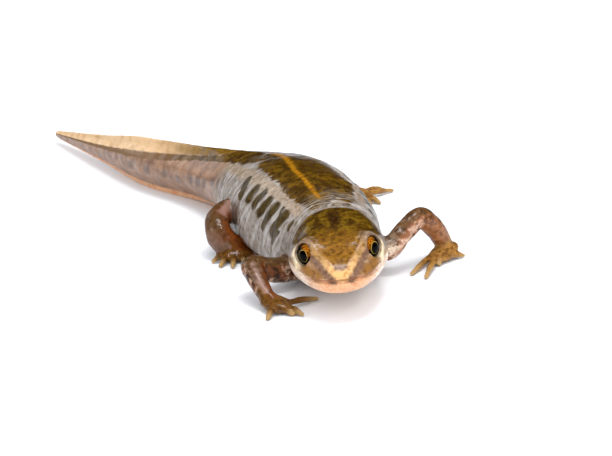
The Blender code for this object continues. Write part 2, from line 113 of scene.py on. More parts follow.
# %% [markdown]
# ## The line of the body
# A newt is a bent tube. A few named places along the spine say where the tube runs, how wide it is,
# and how far it rises and drops from its widest line. They repeat the sizes of the solids. Between
# the places a curve runs that never overshoots, because a spline that wobbles would show as dents.

# %% The line of the body
# x, y, level of the widest line, half width, rise, drop, and how much of a tail blade it is
SPINE = {
    "snout": (0.10, 0.00, 3.60, 2.60, 1.30, 1.00, 0.0),
    "nostril": (0.09, 1.10, 3.60, 2.70, 1.50, 1.30, 0.0),
    "eye": (0.05, 3.80, 3.58, 3.55, 2.60, 1.85, 0.0),
    "jaw": (0.00, 7.00, 3.52, 4.22, 3.50, 2.45, 0.0),
    "nape": (-0.05, 9.40, 3.45, 4.00, 3.93, 2.95, 0.0),
    "neck": (-0.25, 11.20, 3.35, 4.20, 4.13, 3.12, 0.0),
    "shoulder": (-0.80, 13.30, 3.20, 4.85, 4.68, 3.12, 0.0),
    "chest": (-1.60, 16.00, 3.05, 5.15, 5.27, 3.05, 0.0),
    "belly": (-3.10, 20.30, 3.00, 5.70, 5.38, 3.10, 0.0),
    "loin": (-4.60, 24.80, 3.05, 5.50, 4.72, 3.13, 0.0),
    "hip": (-6.50, 28.60, 3.10, 4.50, 3.88, 2.95, 0.0),
    "vent": (-9.20, 32.60, 3.00, 2.90, 3.30, 2.80, 0.35),
    "tail_root": (-13.20, 37.80, 2.90, 1.90, 2.72, 2.85, 0.85),
    "tail_middle": (-17.50, 42.60, 2.70, 1.45, 2.55, 2.74, 1.0),
    "tail_narrows": (-23.10, 52.00, 2.02, 0.90, 1.30, 1.57, 1.0),
    "tail_tip": (-28.60, 62.00, 1.05, 0.30, 0.30, 0.40, 1.0),
}
STATIONS = np.array(list(SPINE.values()))
PLACES = np.concatenate(([0.0], np.cumsum(np.hypot(*np.diff(STATIONS[:, :2], axis=0).T))))
LENGTH = PLACES[-1]


def curve(knots, values, at):
    """Curve through values at knots that never overshoots between two of them.

    The slope at a knot is the weighted harmonic mean of the slopes beside it, or nought where they
    differ in sign. Cubic Hermite pieces join the knots.
    """
    knots, values = np.asarray(knots, float), np.asarray(values, float)
    step = np.diff(knots)
    rate = np.diff(values) / step
    before, after = 2 * step[1:] + step[:-1], step[1:] + 2 * step[:-1]
    same = rate[:-1] * rate[1:] > 0
    first, second = np.where(same, rate[:-1], 1.0), np.where(same, rate[1:], 1.0)
    inner = np.where(same, (before + after) / (before / first + after / second), 0.0)
    slope = np.concatenate((rate[:1], inner, rate[-1:]))
    at = np.clip(np.asarray(at, float), knots[0], knots[-1])
    piece = np.clip(np.searchsorted(knots, at, side="right") - 1, 0, len(step) - 1)
    size = step[piece]
    t = (at - knots[piece]) / size
    ends = values[piece] * (2 * t**3 - 3 * t**2 + 1) + values[piece + 1] * (3 * t**2 - 2 * t**3)
    return ends + size * (slope[piece] * (t**3 - 2 * t**2 + t) + slope[piece + 1] * (t**3 - t**2))


def spine_at(along):
    """Columns of the spine's values at places along it, with the sideways direction there."""
    values = [curve(PLACES, column, along) for column in STATIONS.T]
    ahead = [curve(PLACES, STATIONS[:, k], along + 0.2) - curve(PLACES, STATIONS[:, k], along - 0.2)
             for k in (0, 1)]
    return values, np.arctan2(-ahead[0], ahead[1])


print("spine in mm:", round(float(LENGTH), 1))

# %% [markdown]
# ## The tube of the body
# The tube is a grid: one direction runs along the spine, the other around it. A section is a
# superellipse, rounder above than below. Towards the tail it turns into a blade: a thick core of
# muscle with a thin fin above and below. The rows crowd together at the snout, so its round end
# has no kink, and the columns crowd together at the line of the mouth, where the grid must be fine.

# %% The tube of the body
SNOUT_REACH, SNOUT_TOP_REACH, CHIN_REACH, TIP_REACH = 2.3, 1.7, 1.3, 0.8
SQUARE_TOP, SQUARE_BELOW, SQUARE_BELOW_HEAD = 2.05, 2.8, 2.2
HEAD_LEAN = math.radians(2.6)
HEAD_TURN = math.radians(3.0)
LEAN_ENDS = (9.0, 14.0)
MUSCLE_SHARE, FIN_THICKNESS = 0.62, 0.40
COLUMNS = 160
MOUTH_CROWDING = 0.60
HEAD_STEP, TRUNK_STEP, TAIL_STEP = 0.13, 0.25, 0.36
HEAD_END, TRUNK_END = 11.6, 44.0


def steps_round(count):
    """Angles of even steps round a circle."""
    return np.arange(count) * 2 * math.pi / count


def quarter(distance, reach):
    """Share of full size near a round end, as a quarter of an ellipse."""
    short = 1.0 - np.clip(distance / reach, 0.0, 1.0)
    return np.sqrt(np.clip(1.0 - short**2, 0.0, 1.0))


def head_lean(along):
    """Lean of a section: the head leans to its right, and the lean fades out over the neck."""
    return curve((0.0, *LEAN_ENDS, LENGTH), (HEAD_LEAN, HEAD_LEAN, 0.0, 0.0), along)


def body_surface(along, around):
    """Points for places along the spine and angles around it.

    Angle 0 is the left widest line and a quarter turn is the midline of the back. Height and width
    follow a superellipse. The tail's width is a thin fin plus a core that fades towards the edges.
    """
    (x, y, level, half, rise, drop, blade), turn = spine_at(along)
    x, y, level, half, rise, drop, blade, turn = (
        v[:, None] for v in (x, y, level, half, rise, drop, blade, turn)
    )
    tip = quarter(LENGTH - along, TIP_REACH)[:, None]
    half = half * quarter(along, SNOUT_REACH)[:, None] * tip
    rise = rise * quarter(along, SNOUT_TOP_REACH)[:, None] * tip
    drop = drop * quarter(along, CHIN_REACH)[:, None] * tip
    cosine, sine = np.cos(around), np.sin(around)
    below = (SQUARE_BELOW_HEAD, SQUARE_BELOW_HEAD, SQUARE_BELOW, SQUARE_BELOW)
    below = curve((0.0, *LEAN_ENDS, LENGTH), below, along)[:, None]
    square = np.where(sine >= 0, SQUARE_TOP, below)
    height = np.where(sine >= 0, rise, drop)
    up = height * np.sign(sine) * np.abs(sine) ** (2.0 / square)
    trunk = half * np.abs(cosine) ** (2.0 / square)
    fin = np.minimum(FIN_THICKNESS / 2, half)
    core = np.exp(-((np.abs(up) / (MUSCLE_SHARE * height + 1e-9)) ** 3))
    tail = (half - fin) * core * np.abs(cosine) ** 0.5 + fin * np.abs(cosine) ** 0.4
    out = np.sign(cosine) * ((1 - blade) * trunk + blade * tail)
    lean = head_lean(along)[:, None]
    out, up = out * np.cos(lean) - up * np.sin(lean), out * np.sin(lean) + up * np.cos(lean)
    return np.stack((x + out * np.cos(turn), y + out * np.sin(turn), level + up), axis=-1)


def body_rows():
    """Places along the spine for the rows: even steps over the round snout, then the trunk's."""
    nose = SNOUT_REACH * (1 - np.cos(np.radians(np.arange(3.0, 90.0, 3.2))))
    head = np.arange(SNOUT_REACH, HEAD_END, HEAD_STEP)
    trunk = np.arange(HEAD_END, TRUNK_END, TRUNK_STEP)
    tail = np.arange(TRUNK_END, LENGTH - TIP_REACH, TAIL_STEP)
    tip = LENGTH - TIP_REACH * (1 - np.sin(np.radians(np.arange(0.0, 88.0, 9.0))))
    return np.concatenate((nose, head, trunk, tail, tip))


rows = body_rows()
turn = steps_round(COLUMNS)
crowding = MOUTH_CROWDING * curve((0, 6, HEAD_END, LENGTH), (1, 1, 0, 0), rows)
body_points = body_surface(rows, turn - crowding[:, None] * np.sin(2 * turn) / 2)
print("grid of the body:", body_points.shape[:2])

# %% [markdown]
# ## From grid to mesh
# A closed tube is a grid whose last column joins its first, with a fan of triangles at each end.
# The faces are worked out as whole arrays. The same helper serves the body, the limbs, the digits
# and the lids. Booleans and the voxel remesh then make one watertight surface of them.

# %% From grid to mesh
def tube_faces(count, columns, ring=False):
    """Quads between neighbouring rows, and a fan at each end, or quads all round for a ring."""
    cells = np.arange(count * columns).reshape(count, columns)
    ahead = np.roll(cells, -1, axis=0)
    used = slice(None) if ring else slice(0, count - 1)
    a, b = cells[used], ahead[used]
    quads = np.stack((a, np.roll(a, -1, axis=1), np.roll(b, -1, axis=1), b), axis=-1)
    faces = quads.reshape(-1, 4).tolist()
    if not ring:
        for row, centre in ((cells[0], count * columns), (cells[-1], count * columns + 1)):
            fan = np.stack((row, np.roll(row, -1), np.full(columns, centre)), axis=-1)
            faces += fan.tolist()
    return faces


def mesh_object(name, points, faces):
    """Object from points and faces, with its faces turned outwards."""
    mesh = bpy.data.meshes.new(name)
    mesh.from_pydata(np.asarray(points).reshape(-1, 3).tolist(), [], faces)
    work = bmesh.new()
    work.from_mesh(mesh)
    bmesh.ops.recalc_face_normals(work, faces=work.faces)
    work.to_mesh(mesh)
    work.free()
    made = bpy.data.objects.new(name, mesh)
    bpy.context.scene.collection.objects.link(made)
    return made


def closed_tube(name, points, first=None, last=None):
    """Object from rows of points, closed at both ends by a middle point."""
    first = points[0].mean(axis=0) if first is None else first
    last = points[-1].mean(axis=0) if last is None else last
    whole = np.vstack((points.reshape(-1, 3), [first, last]))
    return mesh_object(name, whole, tube_faces(*points.shape[:2]))


def apply_modifiers(target):
    """Replace an object's mesh by the one its modifiers make."""
    bpy.context.view_layer.update()
    shape = target.evaluated_get(bpy.context.evaluated_depsgraph_get())
    mesh = bpy.data.meshes.new_from_object(shape)
    target.modifiers.clear()
    target.data = mesh


def combine(target, tools, operation):
    """Join tools to the target, or cut them away, and remove them."""
    group = bpy.data.collections.new("tools")
    bpy.context.scene.collection.children.link(group)
    for tool in tools:
        bpy.context.scene.collection.objects.unlink(tool)
        group.objects.link(tool)
    step = target.modifiers.new("combine", "BOOLEAN")
    step.operation = operation
    step.operand_type = "COLLECTION"
    step.collection = group
    step.solver = "MANIFOLD"
    apply_modifiers(target)
    for tool in list(group.objects):
        bpy.data.objects.remove(tool)
    bpy.data.collections.remove(group)


def read_points(target, kind="co"):
    """The points of an object's mesh as an array, or their outward directions for the kind normal."""
    values = np.empty(len(target.data.vertices) * 3, np.float32)
    target.data.vertices.foreach_get(kind, values)
    return values.reshape(-1, 3).astype(float)


def write_points(target, points):
    """Put changed points back into an object's mesh."""
    target.data.vertices.foreach_set("co", np.asarray(points, np.float32).ravel())
    target.data.update()


def store(target, name, values):
    """Keep one number, or one vector, at every point of an object's mesh."""
    kind, label = ("FLOAT", "value") if values.ndim == 1 else ("FLOAT_VECTOR", "vector")
    attribute = target.data.attributes.new(name, kind, "POINT")
    attribute.data.foreach_set(label, values.astype(np.float32).ravel())


def relax(target, weight, rounds):
    """Even out a surface: each point moves a share, weight, towards the mean of its neighbours."""
    points = read_points(target)
    edges = np.empty(len(target.data.edges) * 2, np.int64)
    target.data.edges.foreach_get("vertices", edges)
    start, end = edges.reshape(-1, 2).T
    here, there = np.concatenate((start, end)), np.concatenate((end, start))
    count = np.maximum(np.bincount(here, minlength=len(points)), 1)
    for _ in range(rounds):
        mean = [np.bincount(here, points[there, k], len(points)) / count for k in range(3)]
        points = points + weight[:, None] * (np.stack(mean, axis=-1) - points)
    write_points(target, points)


# %% [markdown]
# ## Eyes first
# The eyes decide whether a model looks alive, so they are settled before the skin that closes round
# them. Each is a ball a millimetre in radius, low on the side of the head, and looks out and a
# little forwards. The head swells over it in a smooth mound. The mound is the rounded union of the
# head and a ball: each point of the grid moves out along its normal until the two meet.

# %% Eyes first
EYE_RADIUS = 1.08
EYE_SIDE, EYE_ALONG, EYE_ABOVE = 2.35, 4.15, 1.55
LID_OUT, LID_UP = math.radians(47.0), math.radians(8.0)
GAZE_OUT, GAZE_UP = math.radians(42.0), math.radians(2.0)
MOUND_RADIUS, MOUND_BLEND = 1.26, 1.1
EYE_SIDES = 72


def head_point(side, along, above):
    """Point in the head, from the step to the side, the place along it and the height above the
    line of the mouth."""
    x, y, level = (float(curve(PLACES, STATIONS[:, k], along)) for k in range(3))
    lean = float(head_lean(along))
    out = side * math.cos(lean) - above * math.sin(lean)
    up = side * math.sin(lean) + above * math.cos(lean)
    return np.array([x + out, y, level + up])


def eye_centre(hand):
    """Middle of one eye."""
    return head_point(hand * EYE_SIDE, EYE_ALONG, EYE_ABOVE)


def direction(hand, out, up):
    """Unit vector in the leaning head, from an angle out from straight ahead and an angle up."""
    out = out + hand * HEAD_TURN
    side, high = hand * math.sin(out) * math.cos(up), math.sin(up)
    side, high = (side * math.cos(HEAD_LEAN) - high * math.sin(HEAD_LEAN),
                  side * math.sin(HEAD_LEAN) + high * math.cos(HEAD_LEAN))
    return np.array([side, -math.cos(out) * math.cos(up), high])


def directions_round(turn, side, up):
    """Directions at angles round a circle that lies in the plane of two directions."""
    return np.cos(turn)[:, None] * side + np.sin(turn)[:, None] * up


def axes_round(sight):
    """Two directions square to a line of sight: to its side, and up."""
    side = np.cross(sight, (0.0, 0.0, 1.0))
    side /= np.linalg.norm(side)
    return side, np.cross(side, sight)


def grid_normals(points):
    """Outward normals of a closed grid, from the steps along and around it."""
    along = np.gradient(points, axis=0)
    around = np.roll(points, -1, axis=1) - np.roll(points, 1, axis=1)
    normal = np.cross(along, around)
    return normal / np.maximum(np.linalg.norm(normal, axis=-1, keepdims=True), 1e-9)


def swell_over_ball(points, normals, centre, radius, blend):
    """Move a surface out to its rounded union with a ball.

    With t the step out and b the distance from the ball, the union lies where the smaller of t and
    b, less a rounding where they are alike, is nought. The step is found by halving.
    """
    low = np.zeros(points.shape[:-1])
    high = np.full(points.shape[:-1], 2.0)
    for _ in range(20):
        step = (low + high) / 2
        ball = np.linalg.norm(points + normals * step[..., None] - centre, axis=-1) - radius
        alike = np.clip(blend - np.abs(step - ball), 0.0, None) / blend
        inside = np.minimum(step, ball) - alike**2 * blend / 4 < 0
        low, high = np.where(inside, step, low), np.where(inside, high, step)
    return points + normals * low[..., None]


for hand in (LEFT, RIGHT):
    body_points = swell_over_ball(
        body_points, grid_normals(body_points), eye_centre(hand), MOUND_RADIUS, MOUND_BLEND
    )
skin = closed_tube("newt_skin", body_points)
print("body triangles:", 2 * len(skin.data.polygons))

# %% [markdown]
# ## Limbs
# A limb is a tapering tube along a smooth curve through its joints, and a hand is a flat pad with
# thin tubes for digits. Skin has no seams where they meet, so all of one limb goes through a voxel
# remesh, which melts its pieces into one surface, and is then evened out.

# %% Limbs
# Joints from inside the body to the wrist or ankle, with the limb's radius at each
LIMBS = {
    "arm_right": (
        (-2.6, 12.6, 2.5, 1.45), (-4.1, 10.9, 1.55, 1.25), (-5.9, 9.2, 2.0, 1.08),
        (-7.5, 8.2, 2.75, 0.98), (-7.0, 6.4, 2.0, 0.84), (-6.35, 4.9, 1.10, 0.70),
    ),
    "arm_left": (
        (2.4, 13.4, 2.8, 1.30), (4.3, 12.0, 2.2, 1.02), (5.9, 13.0, 3.3, 0.92),
        (7.4, 14.1, 4.2, 0.95), (8.75, 15.0, 2.8, 0.92), (9.6, 15.6, 1.15, 0.76),
    ),
    "leg_right": (
        (-5.6, 26.4, 2.5, 1.35), (-8.0, 23.8, 2.5, 1.45), (-9.7, 22.3, 3.45, 1.12),
        (-10.65, 20.5, 3.0, 1.12), (-10.4, 19.4, 2.0, 1.24), (-9.5, 19.2, 1.10, 1.20),
    ),
    "leg_left": (
        (-4.4, 28.0, 3.2, 1.50), (-1.4, 29.2, 2.9, 1.30), (0.4, 30.6, 2.2, 1.00),
        (1.2, 32.0, 1.7, 0.88), (1.7, 33.1, 1.4, 0.85), (2.1, 33.8, 1.00, 0.80),
    ),
}
# Middle of the palm or sole, the point that it is broadest towards, half breadth, half thickness
PALMS = {
    "arm_right": ((-5.6, 4.3, 0.62), (-4.8, 3.4, 0.50), 1.15, 0.62),
    "arm_left": ((9.5, 14.9, 0.62), (8.8, 13.6, 0.50), 1.15, 0.60),
    "leg_right": ((-9.2, 18.7, 0.62), (-9.2, 17.8, 0.48), 1.75, 0.60),
    "leg_left": ((2.6, 33.8, 0.62), (3.4, 33.6, 0.50), 1.45, 0.60),
}
# Tips of the digits on the table, from the innermost digit outwards
DIGITS = {
    "arm_right": ((-2.1, 6.1), (-3.4, 2.35), (-4.25, 2.6), (-6.35, 1.95)),
    "arm_left": ((6.35, 10.8), (7.5, 9.6), (8.9, 12.7), (11.2, 14.7)),
    "leg_right": ((-7.5, 18.3), (-8.3, 16.7), (-9.4, 16.0), (-10.5, 16.5), (-11.2, 17.8)),
    "leg_left": ((2.7, 31.5), (3.7, 31.4), (4.6, 32.0), (6.0, 35.7), (4.9, 36.7)),
}
DIGIT_RADII = (0.40, 0.29, 0.31, 0.26, 0.20)
DIGIT_HEIGHTS = (0.50, 0.50, 0.46, 0.34, 0.20)
LIMB_VOXEL = 0.11


def tube_rows(joints, radii, sides, step):
    """Rings square to a smooth curve through joints, with rounded ends.

    Each ring keeps its turn from the one before it, so the tube doesn't twist.
    """
    joints = np.array(joints, float)
    knots = np.concatenate(([0.0], np.cumsum(np.linalg.norm(np.diff(joints, axis=0), axis=1))))
    at = np.linspace(0.0, knots[-1], max(4, round(knots[-1] / step)))
    path = np.stack([curve(knots, joints[:, k], at) for k in range(3)], axis=1)
    radius = curve(knots, radii, at)
    ahead = np.gradient(path, axis=0)
    ahead /= np.linalg.norm(ahead, axis=1)[:, None]
    bend = np.radians((72.0, 54.0, 36.0, 18.0))
    first = path[0] - ahead[0] * (radius[0] * np.sin(bend))[:, None]
    last = path[-1] + ahead[-1] * (radius[-1] * np.sin(bend[::-1]))[:, None]
    path = np.vstack((first, path, last))
    radius = np.concatenate((radius[0] * np.cos(bend), radius, radius[-1] * np.cos(bend[::-1])))
    ahead = np.vstack((np.repeat(ahead[:1], 4, axis=0), ahead, np.repeat(ahead[-1:], 4, axis=0)))
    turn = steps_round(sides)
    side = np.array([ahead[0][1], -ahead[0][0], 0.0])
    rings = []
    for point, size, forward in zip(path, radius, ahead):
        side = side - forward * (side @ forward)
        side = side / np.linalg.norm(side)
        rings.append(point + size * directions_round(turn, side, np.cross(side, forward)))
    return np.array(rings)


def palm_rows(middle, front, breadth, thickness):
    """A squashed ball drawn out towards the digits."""
    middle, front = np.array(middle), np.array(front)
    ahead = (front - middle) / np.linalg.norm(front - middle)
    side = np.array([ahead[1], -ahead[0], 0.0])
    reach = np.linalg.norm(front - middle) + 0.35
    part = np.radians(np.linspace(-84.0, 84.0, 21))[:, None, None]
    turn = steps_round(24)[None, :, None]
    size = np.cos(part) ** 0.7
    flat = np.cos(turn) * side * breadth * size
    return middle + ahead * reach * np.sin(part) + flat + np.sin(turn) * size * (0, 0, thickness)


def digit_paths(limb):
    """Path of each digit of a limb: from the front of the palm, arched, to its tip."""
    middle, front, breadth, _ = PALMS[limb]
    tips, middle = np.array(DIGITS[limb]), np.array(middle[:2])
    ahead = np.array(front[:2]) - middle
    across = np.array([ahead[1], -ahead[0]]) / np.linalg.norm(ahead)
    across *= np.sign((tips[-1] - tips[0]) @ across)
    fan = np.linspace(-1.0, 1.0, len(tips))[:, None]
    roots = middle + ahead * (0.9 - 0.6 * fan**2) + across * fan * breadth * 0.62
    share = np.linspace(0.0, 1.0, len(DIGIT_HEIGHTS))[:, None]
    return [
        np.column_stack((root * (1 - share) + tip * share, DIGIT_HEIGHTS))
        for root, tip in zip(roots, tips)
    ]


def limb_object(limb):
    """One limb, melted into a single surface."""
    joints = np.array(LIMBS[limb])
    middle, *_, thickness = PALMS[limb]
    whole = closed_tube(limb, tube_rows(joints[:, :3], joints[:, 3], 28, 0.2))
    wrist = tube_rows((joints[-1, :3], middle), (joints[-1, 3] * 0.98, thickness), 20, 0.2)
    tools = [closed_tube("wrist", wrist), closed_tube("palm", palm_rows(*PALMS[limb]))]
    tools += [closed_tube("digit", tube_rows(p, DIGIT_RADII, 14, 0.12)) for p in digit_paths(limb)]
    combine(whole, tools, "UNION")
    melt = whole.modifiers.new("melt", "REMESH")
    melt.mode = "VOXEL"
    melt.voxel_size = LIMB_VOXEL
    apply_modifiers(whole)
    relax(whole, np.full(len(whole.data.vertices), 0.5), 4)
    return whole


limbs = [limb_object(limb) for limb in LIMBS]
print("limb triangles:", [2 * len(limb.data.polygons) for limb in limbs])

# %% [markdown]
# ## Lids
# A newt's lids are rolls of skin that hug the eyeball. Each pair is a ring round the line of sight,
# thicker above than below, and narrowed so that the opening slants down towards the nose. An
# opening is cut in the mound, the ring is joined on, and last a ball the size of the eye is cut
# out, so that the lids touch the eye all round without passing through it.

# %% Lids
LID_ANGLE_ABOVE, LID_ANGLE_BELOW = math.radians(76.0), math.radians(73.0)
LID_ROLL_ABOVE, LID_ROLL_BELOW = 0.17, 0.12
LID_SLANT, LID_NARROWING = math.radians(35.0), math.radians(19.0)
SOCKET_SLACK = 0.012
BALL_RINGS, BALL_SIDES = 33, 48


def across_opening(hand, turn):
    """Share, from 0 to 1, to which a direction round the eye lies across the slanting opening."""
    long_way = math.sin(LID_SLANT) * hand * np.cos(turn) - math.cos(LID_SLANT) * np.sin(turn)
    return 1 - long_way**2


def lid_ring(hand):
    """Ring round the line of sight whose roll is centred just outside the eyeball.

    Its angle from the line, and the radius of the roll, change smoothly from above to below. The
    ring closes in across the opening, so that the opening slants down towards the nose.
    """
    sight = direction(hand, LID_OUT, LID_UP)
    side, up = axes_round(sight)
    turn = steps_round(EYE_SIDES)
    high = (1 + np.sin(turn)) / 2
    angle = LID_ANGLE_BELOW + (LID_ANGLE_ABOVE - LID_ANGLE_BELOW) * high
    angle = angle - LID_NARROWING * across_opening(hand, turn)
    roll = LID_ROLL_BELOW + (LID_ROLL_ABOVE - LID_ROLL_BELOW) * high
    distance = EYE_RADIUS + 0.55 * roll
    out = directions_round(turn, side, up)
    reach, ahead = distance * np.sin(angle), distance * np.cos(angle)
    middle = eye_centre(hand) + out * reach[:, None] + sight * ahead[:, None]
    across = steps_round(18)
    return (
        middle[:, None]
        + roll[:, None, None] * np.cos(across)[None, :, None] * out[:, None]
        + roll[:, None, None] * np.sin(across)[None, :, None] * sight
    )


def ball_rows(centre, radius):
    """Level rings of a ball from its lowest point to its highest."""
    part = np.linspace(-math.pi / 2, math.pi / 2, BALL_RINGS)[1:-1, None, None]
    turn = steps_round(BALL_SIDES)[None, :, None]
    ring = np.cos(turn) * (1.0, 0.0, 0.0) + np.sin(turn) * (0.0, 1.0, 0.0)
    return centre + radius * (np.sin(part) * (0.0, 0.0, 1.0) + np.cos(part) * ring)


combine(skin, limbs, "UNION")
openings, rings, sockets = [], [], []
for hand in (LEFT, RIGHT):
    sight, eye = direction(hand, LID_OUT, LID_UP), eye_centre(hand)
    plug = tube_rows((eye + sight * 0.9, eye + sight * 2.6), (0.97, 1.10), 48, 0.3)
    openings.append(closed_tube("opening", plug))
    ring = lid_ring(hand)
    rings.append(mesh_object("ring", ring, tube_faces(*ring.shape[:2], ring=True)))
    sockets.append(closed_tube("socket", ball_rows(eye, EYE_RADIUS + SOCKET_SLACK)))
combine(skin, openings, "DIFFERENCE")
combine(skin, rings, "UNION")
combine(skin, sockets, "DIFFERENCE")
print("skin triangles:", sum(len(p.vertices) - 2 for p in skin.data.polygons))

# %% [markdown]
# ## Where is a point of the skin?
# Relief and paint both follow the body: how far along the spine a point lies, how far to the side,
# and how high. These three numbers are worked out for every point at once, from the nearest of many
# sections of the spine. A second measure tells how deep a point lies in each limb.

# %% Where is a point of the skin?
SAMPLES = np.arange(0.0, LENGTH, 0.1)
BLOCK = 8000
LIMB_SAMPLES, DIGIT_SAMPLES = 90, 24


def nearest(points, targets, extra=0.0):
    """Index of the nearest target for each point, and the distance less extra, in blocks."""
    index, found = np.empty(len(points), int), np.empty(len(points))
    for start in range(0, len(points), BLOCK):
        block = slice(start, start + BLOCK)
        gap = points[block, None, :] - targets[None, :, :]
        distance = np.sqrt((gap**2).sum(axis=-1)) - extra
        index[block] = distance.argmin(axis=1)
        found[block] = distance.min(axis=1)
    return index, found


def body_coordinates(points):
    """Place along the spine, and where a point lies in the section there.

    Side and high are shares: of the half width, and of the rise above the widest line or the drop
    below it. Depth is how far outside the section's ellipse a point lies. Out and up are the steps
    to the left and up from the widest line's middle, in the leaning section. All three are in
    millimetres.
    """
    values, turn = spine_at(SAMPLES)
    index, _ = nearest(points[:, :2], np.stack(values[:2], axis=-1))
    x, y, level, half, rise, drop, _ = (v[index] for v in values)
    turn = turn[index]
    out = (points[:, 0] - x) * np.cos(turn) + (points[:, 1] - y) * np.sin(turn)
    up = points[:, 2] - level
    lean = head_lean(SAMPLES[index])
    out, up = out * np.cos(lean) + up * np.sin(lean), up * np.cos(lean) - out * np.sin(lean)
    high = up / np.where(up > 0, rise, drop)
    side = out / half
    depth = (np.hypot(side, high) - 1) * np.minimum(half, rise)
    return SAMPLES[index], side, high, depth, out, up


def limb_depth(points, limb):
    """Distance outside the nearest sample of a limb or digit, and that sample's number."""
    joints = np.array(LIMBS[limb])
    knots = np.arange(len(joints))
    at = np.linspace(0, len(joints) - 1, LIMB_SAMPLES)
    arm = np.stack([curve(knots, joints[:, k], at) for k in range(4)], axis=1)
    share = np.linspace(0, len(DIGIT_RADII) - 1, DIGIT_SAMPLES)
    steps = np.arange(len(DIGIT_RADII))
    hands = [
        np.stack([curve(steps, column, share) for column in (*path.T, DIGIT_RADII)], axis=1)
        for path in digit_paths(limb)
    ]
    every = np.vstack([arm, *hands])
    index, depth = nearest(points, every[:, :3], every[:, 3])
    return depth, index


def measure(target):
    """Points of the skin, their body coordinates, their depths in the limbs and the least depth."""
    points = read_points(target)
    depths = {limb: limb_depth(points, limb) for limb in LIMBS}
    return points, body_coordinates(points), depths, np.min([d[0] for d in depths.values()], axis=0)


def gap_to_eyes(points):
    """Distance of each point from the middle of the nearer eye."""
    return np.min([np.linalg.norm(points - eye_centre(hand), axis=1) for hand in (LEFT, RIGHT)], axis=0)


def smooth_step(value, low, high):
    """Nought below low, one above high, and a smooth rise between."""
    t = np.clip((value - low) / (high - low), 0.0, 1.0)
    return t * t * (3 - 2 * t)


def bell(value, width):
    """One at nought, fading on both sides over about width."""
    return np.exp(-((value / width) ** 2))


points, (along, side, high, depth, out, up), limb_depths, closest = measure(skin)
seam = bell(depth, 0.7) * bell(closest, 0.7)
relax(skin, 0.55 * seam, 24)
eye_gap = gap_to_eyes(points)
relax(skin, 0.4 * smooth_step(eye_gap, 1.18, 1.28) * smooth_step(eye_gap, 2.0, 1.7), 6)
print("points:", len(points), "near a seam:", int((seam > 0.5).sum()))

# %% [markdown]
# ## Relief of the skin
# Now the skin gets its shapes: the line of the mouth with its lips, the pits of the nostrils, a
# ridge from eye to nostril with a hollow under it, folds across the nape, and fine upright wrinkles
# on the flank where the body bends. Each is a height, added along the surface's own normal. Seeded
# smooth noise breaks up what would look combed.

# %% Relief of the skin
def noise(points, size, seed):
    """Smooth random values from -1 to 1: random corners of a grid, blended with smooth steps."""
    points = points / size
    cell = np.floor(points).astype(np.int64)
    part = points - cell
    part = part * part * (3 - 2 * part)
    total = np.zeros(len(points))
    for corner in np.ndindex(2, 2, 2):
        x, y, z = (cell + corner).T
        mixed = (x * 73856093) ^ (y * 19349663) ^ (z * 83492791) ^ (seed * 49979687)
        mixed = (mixed ^ (mixed >> 13)) * 1274126177
        value = ((mixed ^ (mixed >> 16)) & 0xFFFF) / 32767.5 - 1
        total += np.prod(np.where(corner, part, 1 - part), axis=1) * value
    return total


def line_distance(points, path):
    """Distance of each point from a line of straight runs through a path's points."""
    found = np.full(len(points), np.inf)
    for start, end in zip(path[:-1], path[1:]):
        run = end - start
        share = np.clip(((points - start) @ run) / (run @ run), 0.0, 1.0)
        found = np.minimum(found, np.linalg.norm(points - start - share[:, None] * run, axis=1))
    return found


def both_sides(points, path):
    """Distance from a line on the head and from its mirror image."""
    return np.min(
        [
            line_distance(points, np.array([head_point(hand * s, a, up) for s, a, up in path]))
            for hand in (LEFT, RIGHT)
        ],
        axis=0,
    )


MOUTH_CORNER = 6.0
NOSTRIL = ((0.66, 0.50, 1.02), (0.64, 0.42, 1.00))
RIDGE = ((1.62, 3.2, 1.95), (1.30, 2.0, 1.60), (0.86, 1.0, 1.22))
HOLLOW = ((2.35, 2.6, 1.25), (1.90, 1.6, 1.05), (1.40, 0.8, 0.80))
TEMPLE = ((2.4, 6.8, 2.9), (2.7, 7.9, 2.9))
JOWL = ((3.9, 6.2, 0.7), (4.0, 7.4, 0.6))
BROW = ((1.60, 3.2, 1.98), (1.70, 3.6, 2.45), (2.10, 4.5, 2.68), (2.72, 5.0, 2.42))


def head_relief(points, along, side, high, out, up):
    """Heights of the features of the head."""
    on_head = smooth_step(along, 9.5, 8.5)
    above = up + 0.05 * noise(points, 0.9, 3)
    mouth = smooth_step(along, MOUTH_CORNER + 0.3, MOUTH_CORNER - 0.9) * (np.abs(side) > 0.02)
    height = mouth * (0.06 * bell(above - 0.27, 0.17) - 0.15 * bell(above, 0.075))
    height += mouth * 0.05 * bell(above + 0.25, 0.17)
    height += 0.035 * bell(both_sides(points, NOSTRIL) - 0.27, 0.10)
    height -= 0.24 * bell(both_sides(points, NOSTRIL), 0.14)
    height += 0.10 * bell(both_sides(points, RIDGE), 0.34)
    height -= 0.10 * bell(both_sides(points, HOLLOW), 0.45)
    height += 0.12 * bell(both_sides(points, TEMPLE), 0.9)
    height += 0.10 * bell(both_sides(points, JOWL), 0.8)
    middle = bell(out, 0.7) * bell(along - 4.8, 1.8) * smooth_step(high, 0.5, 0.9)
    height -= 0.08 * middle
    eye = gap_to_eyes(points)
    height += 0.08 * bell(both_sides(points, BROW), 0.15)
    height -= 0.07 * bell(both_sides(points, BROW) - 0.32, 0.10) * smooth_step(high, 0.3, 0.6)
    height += (0.024 * noise(points, 0.55, 5) + 0.012 * noise(points, 0.22, 6)) * smooth_step(eye, 1.2, 1.5)
    return height * on_head


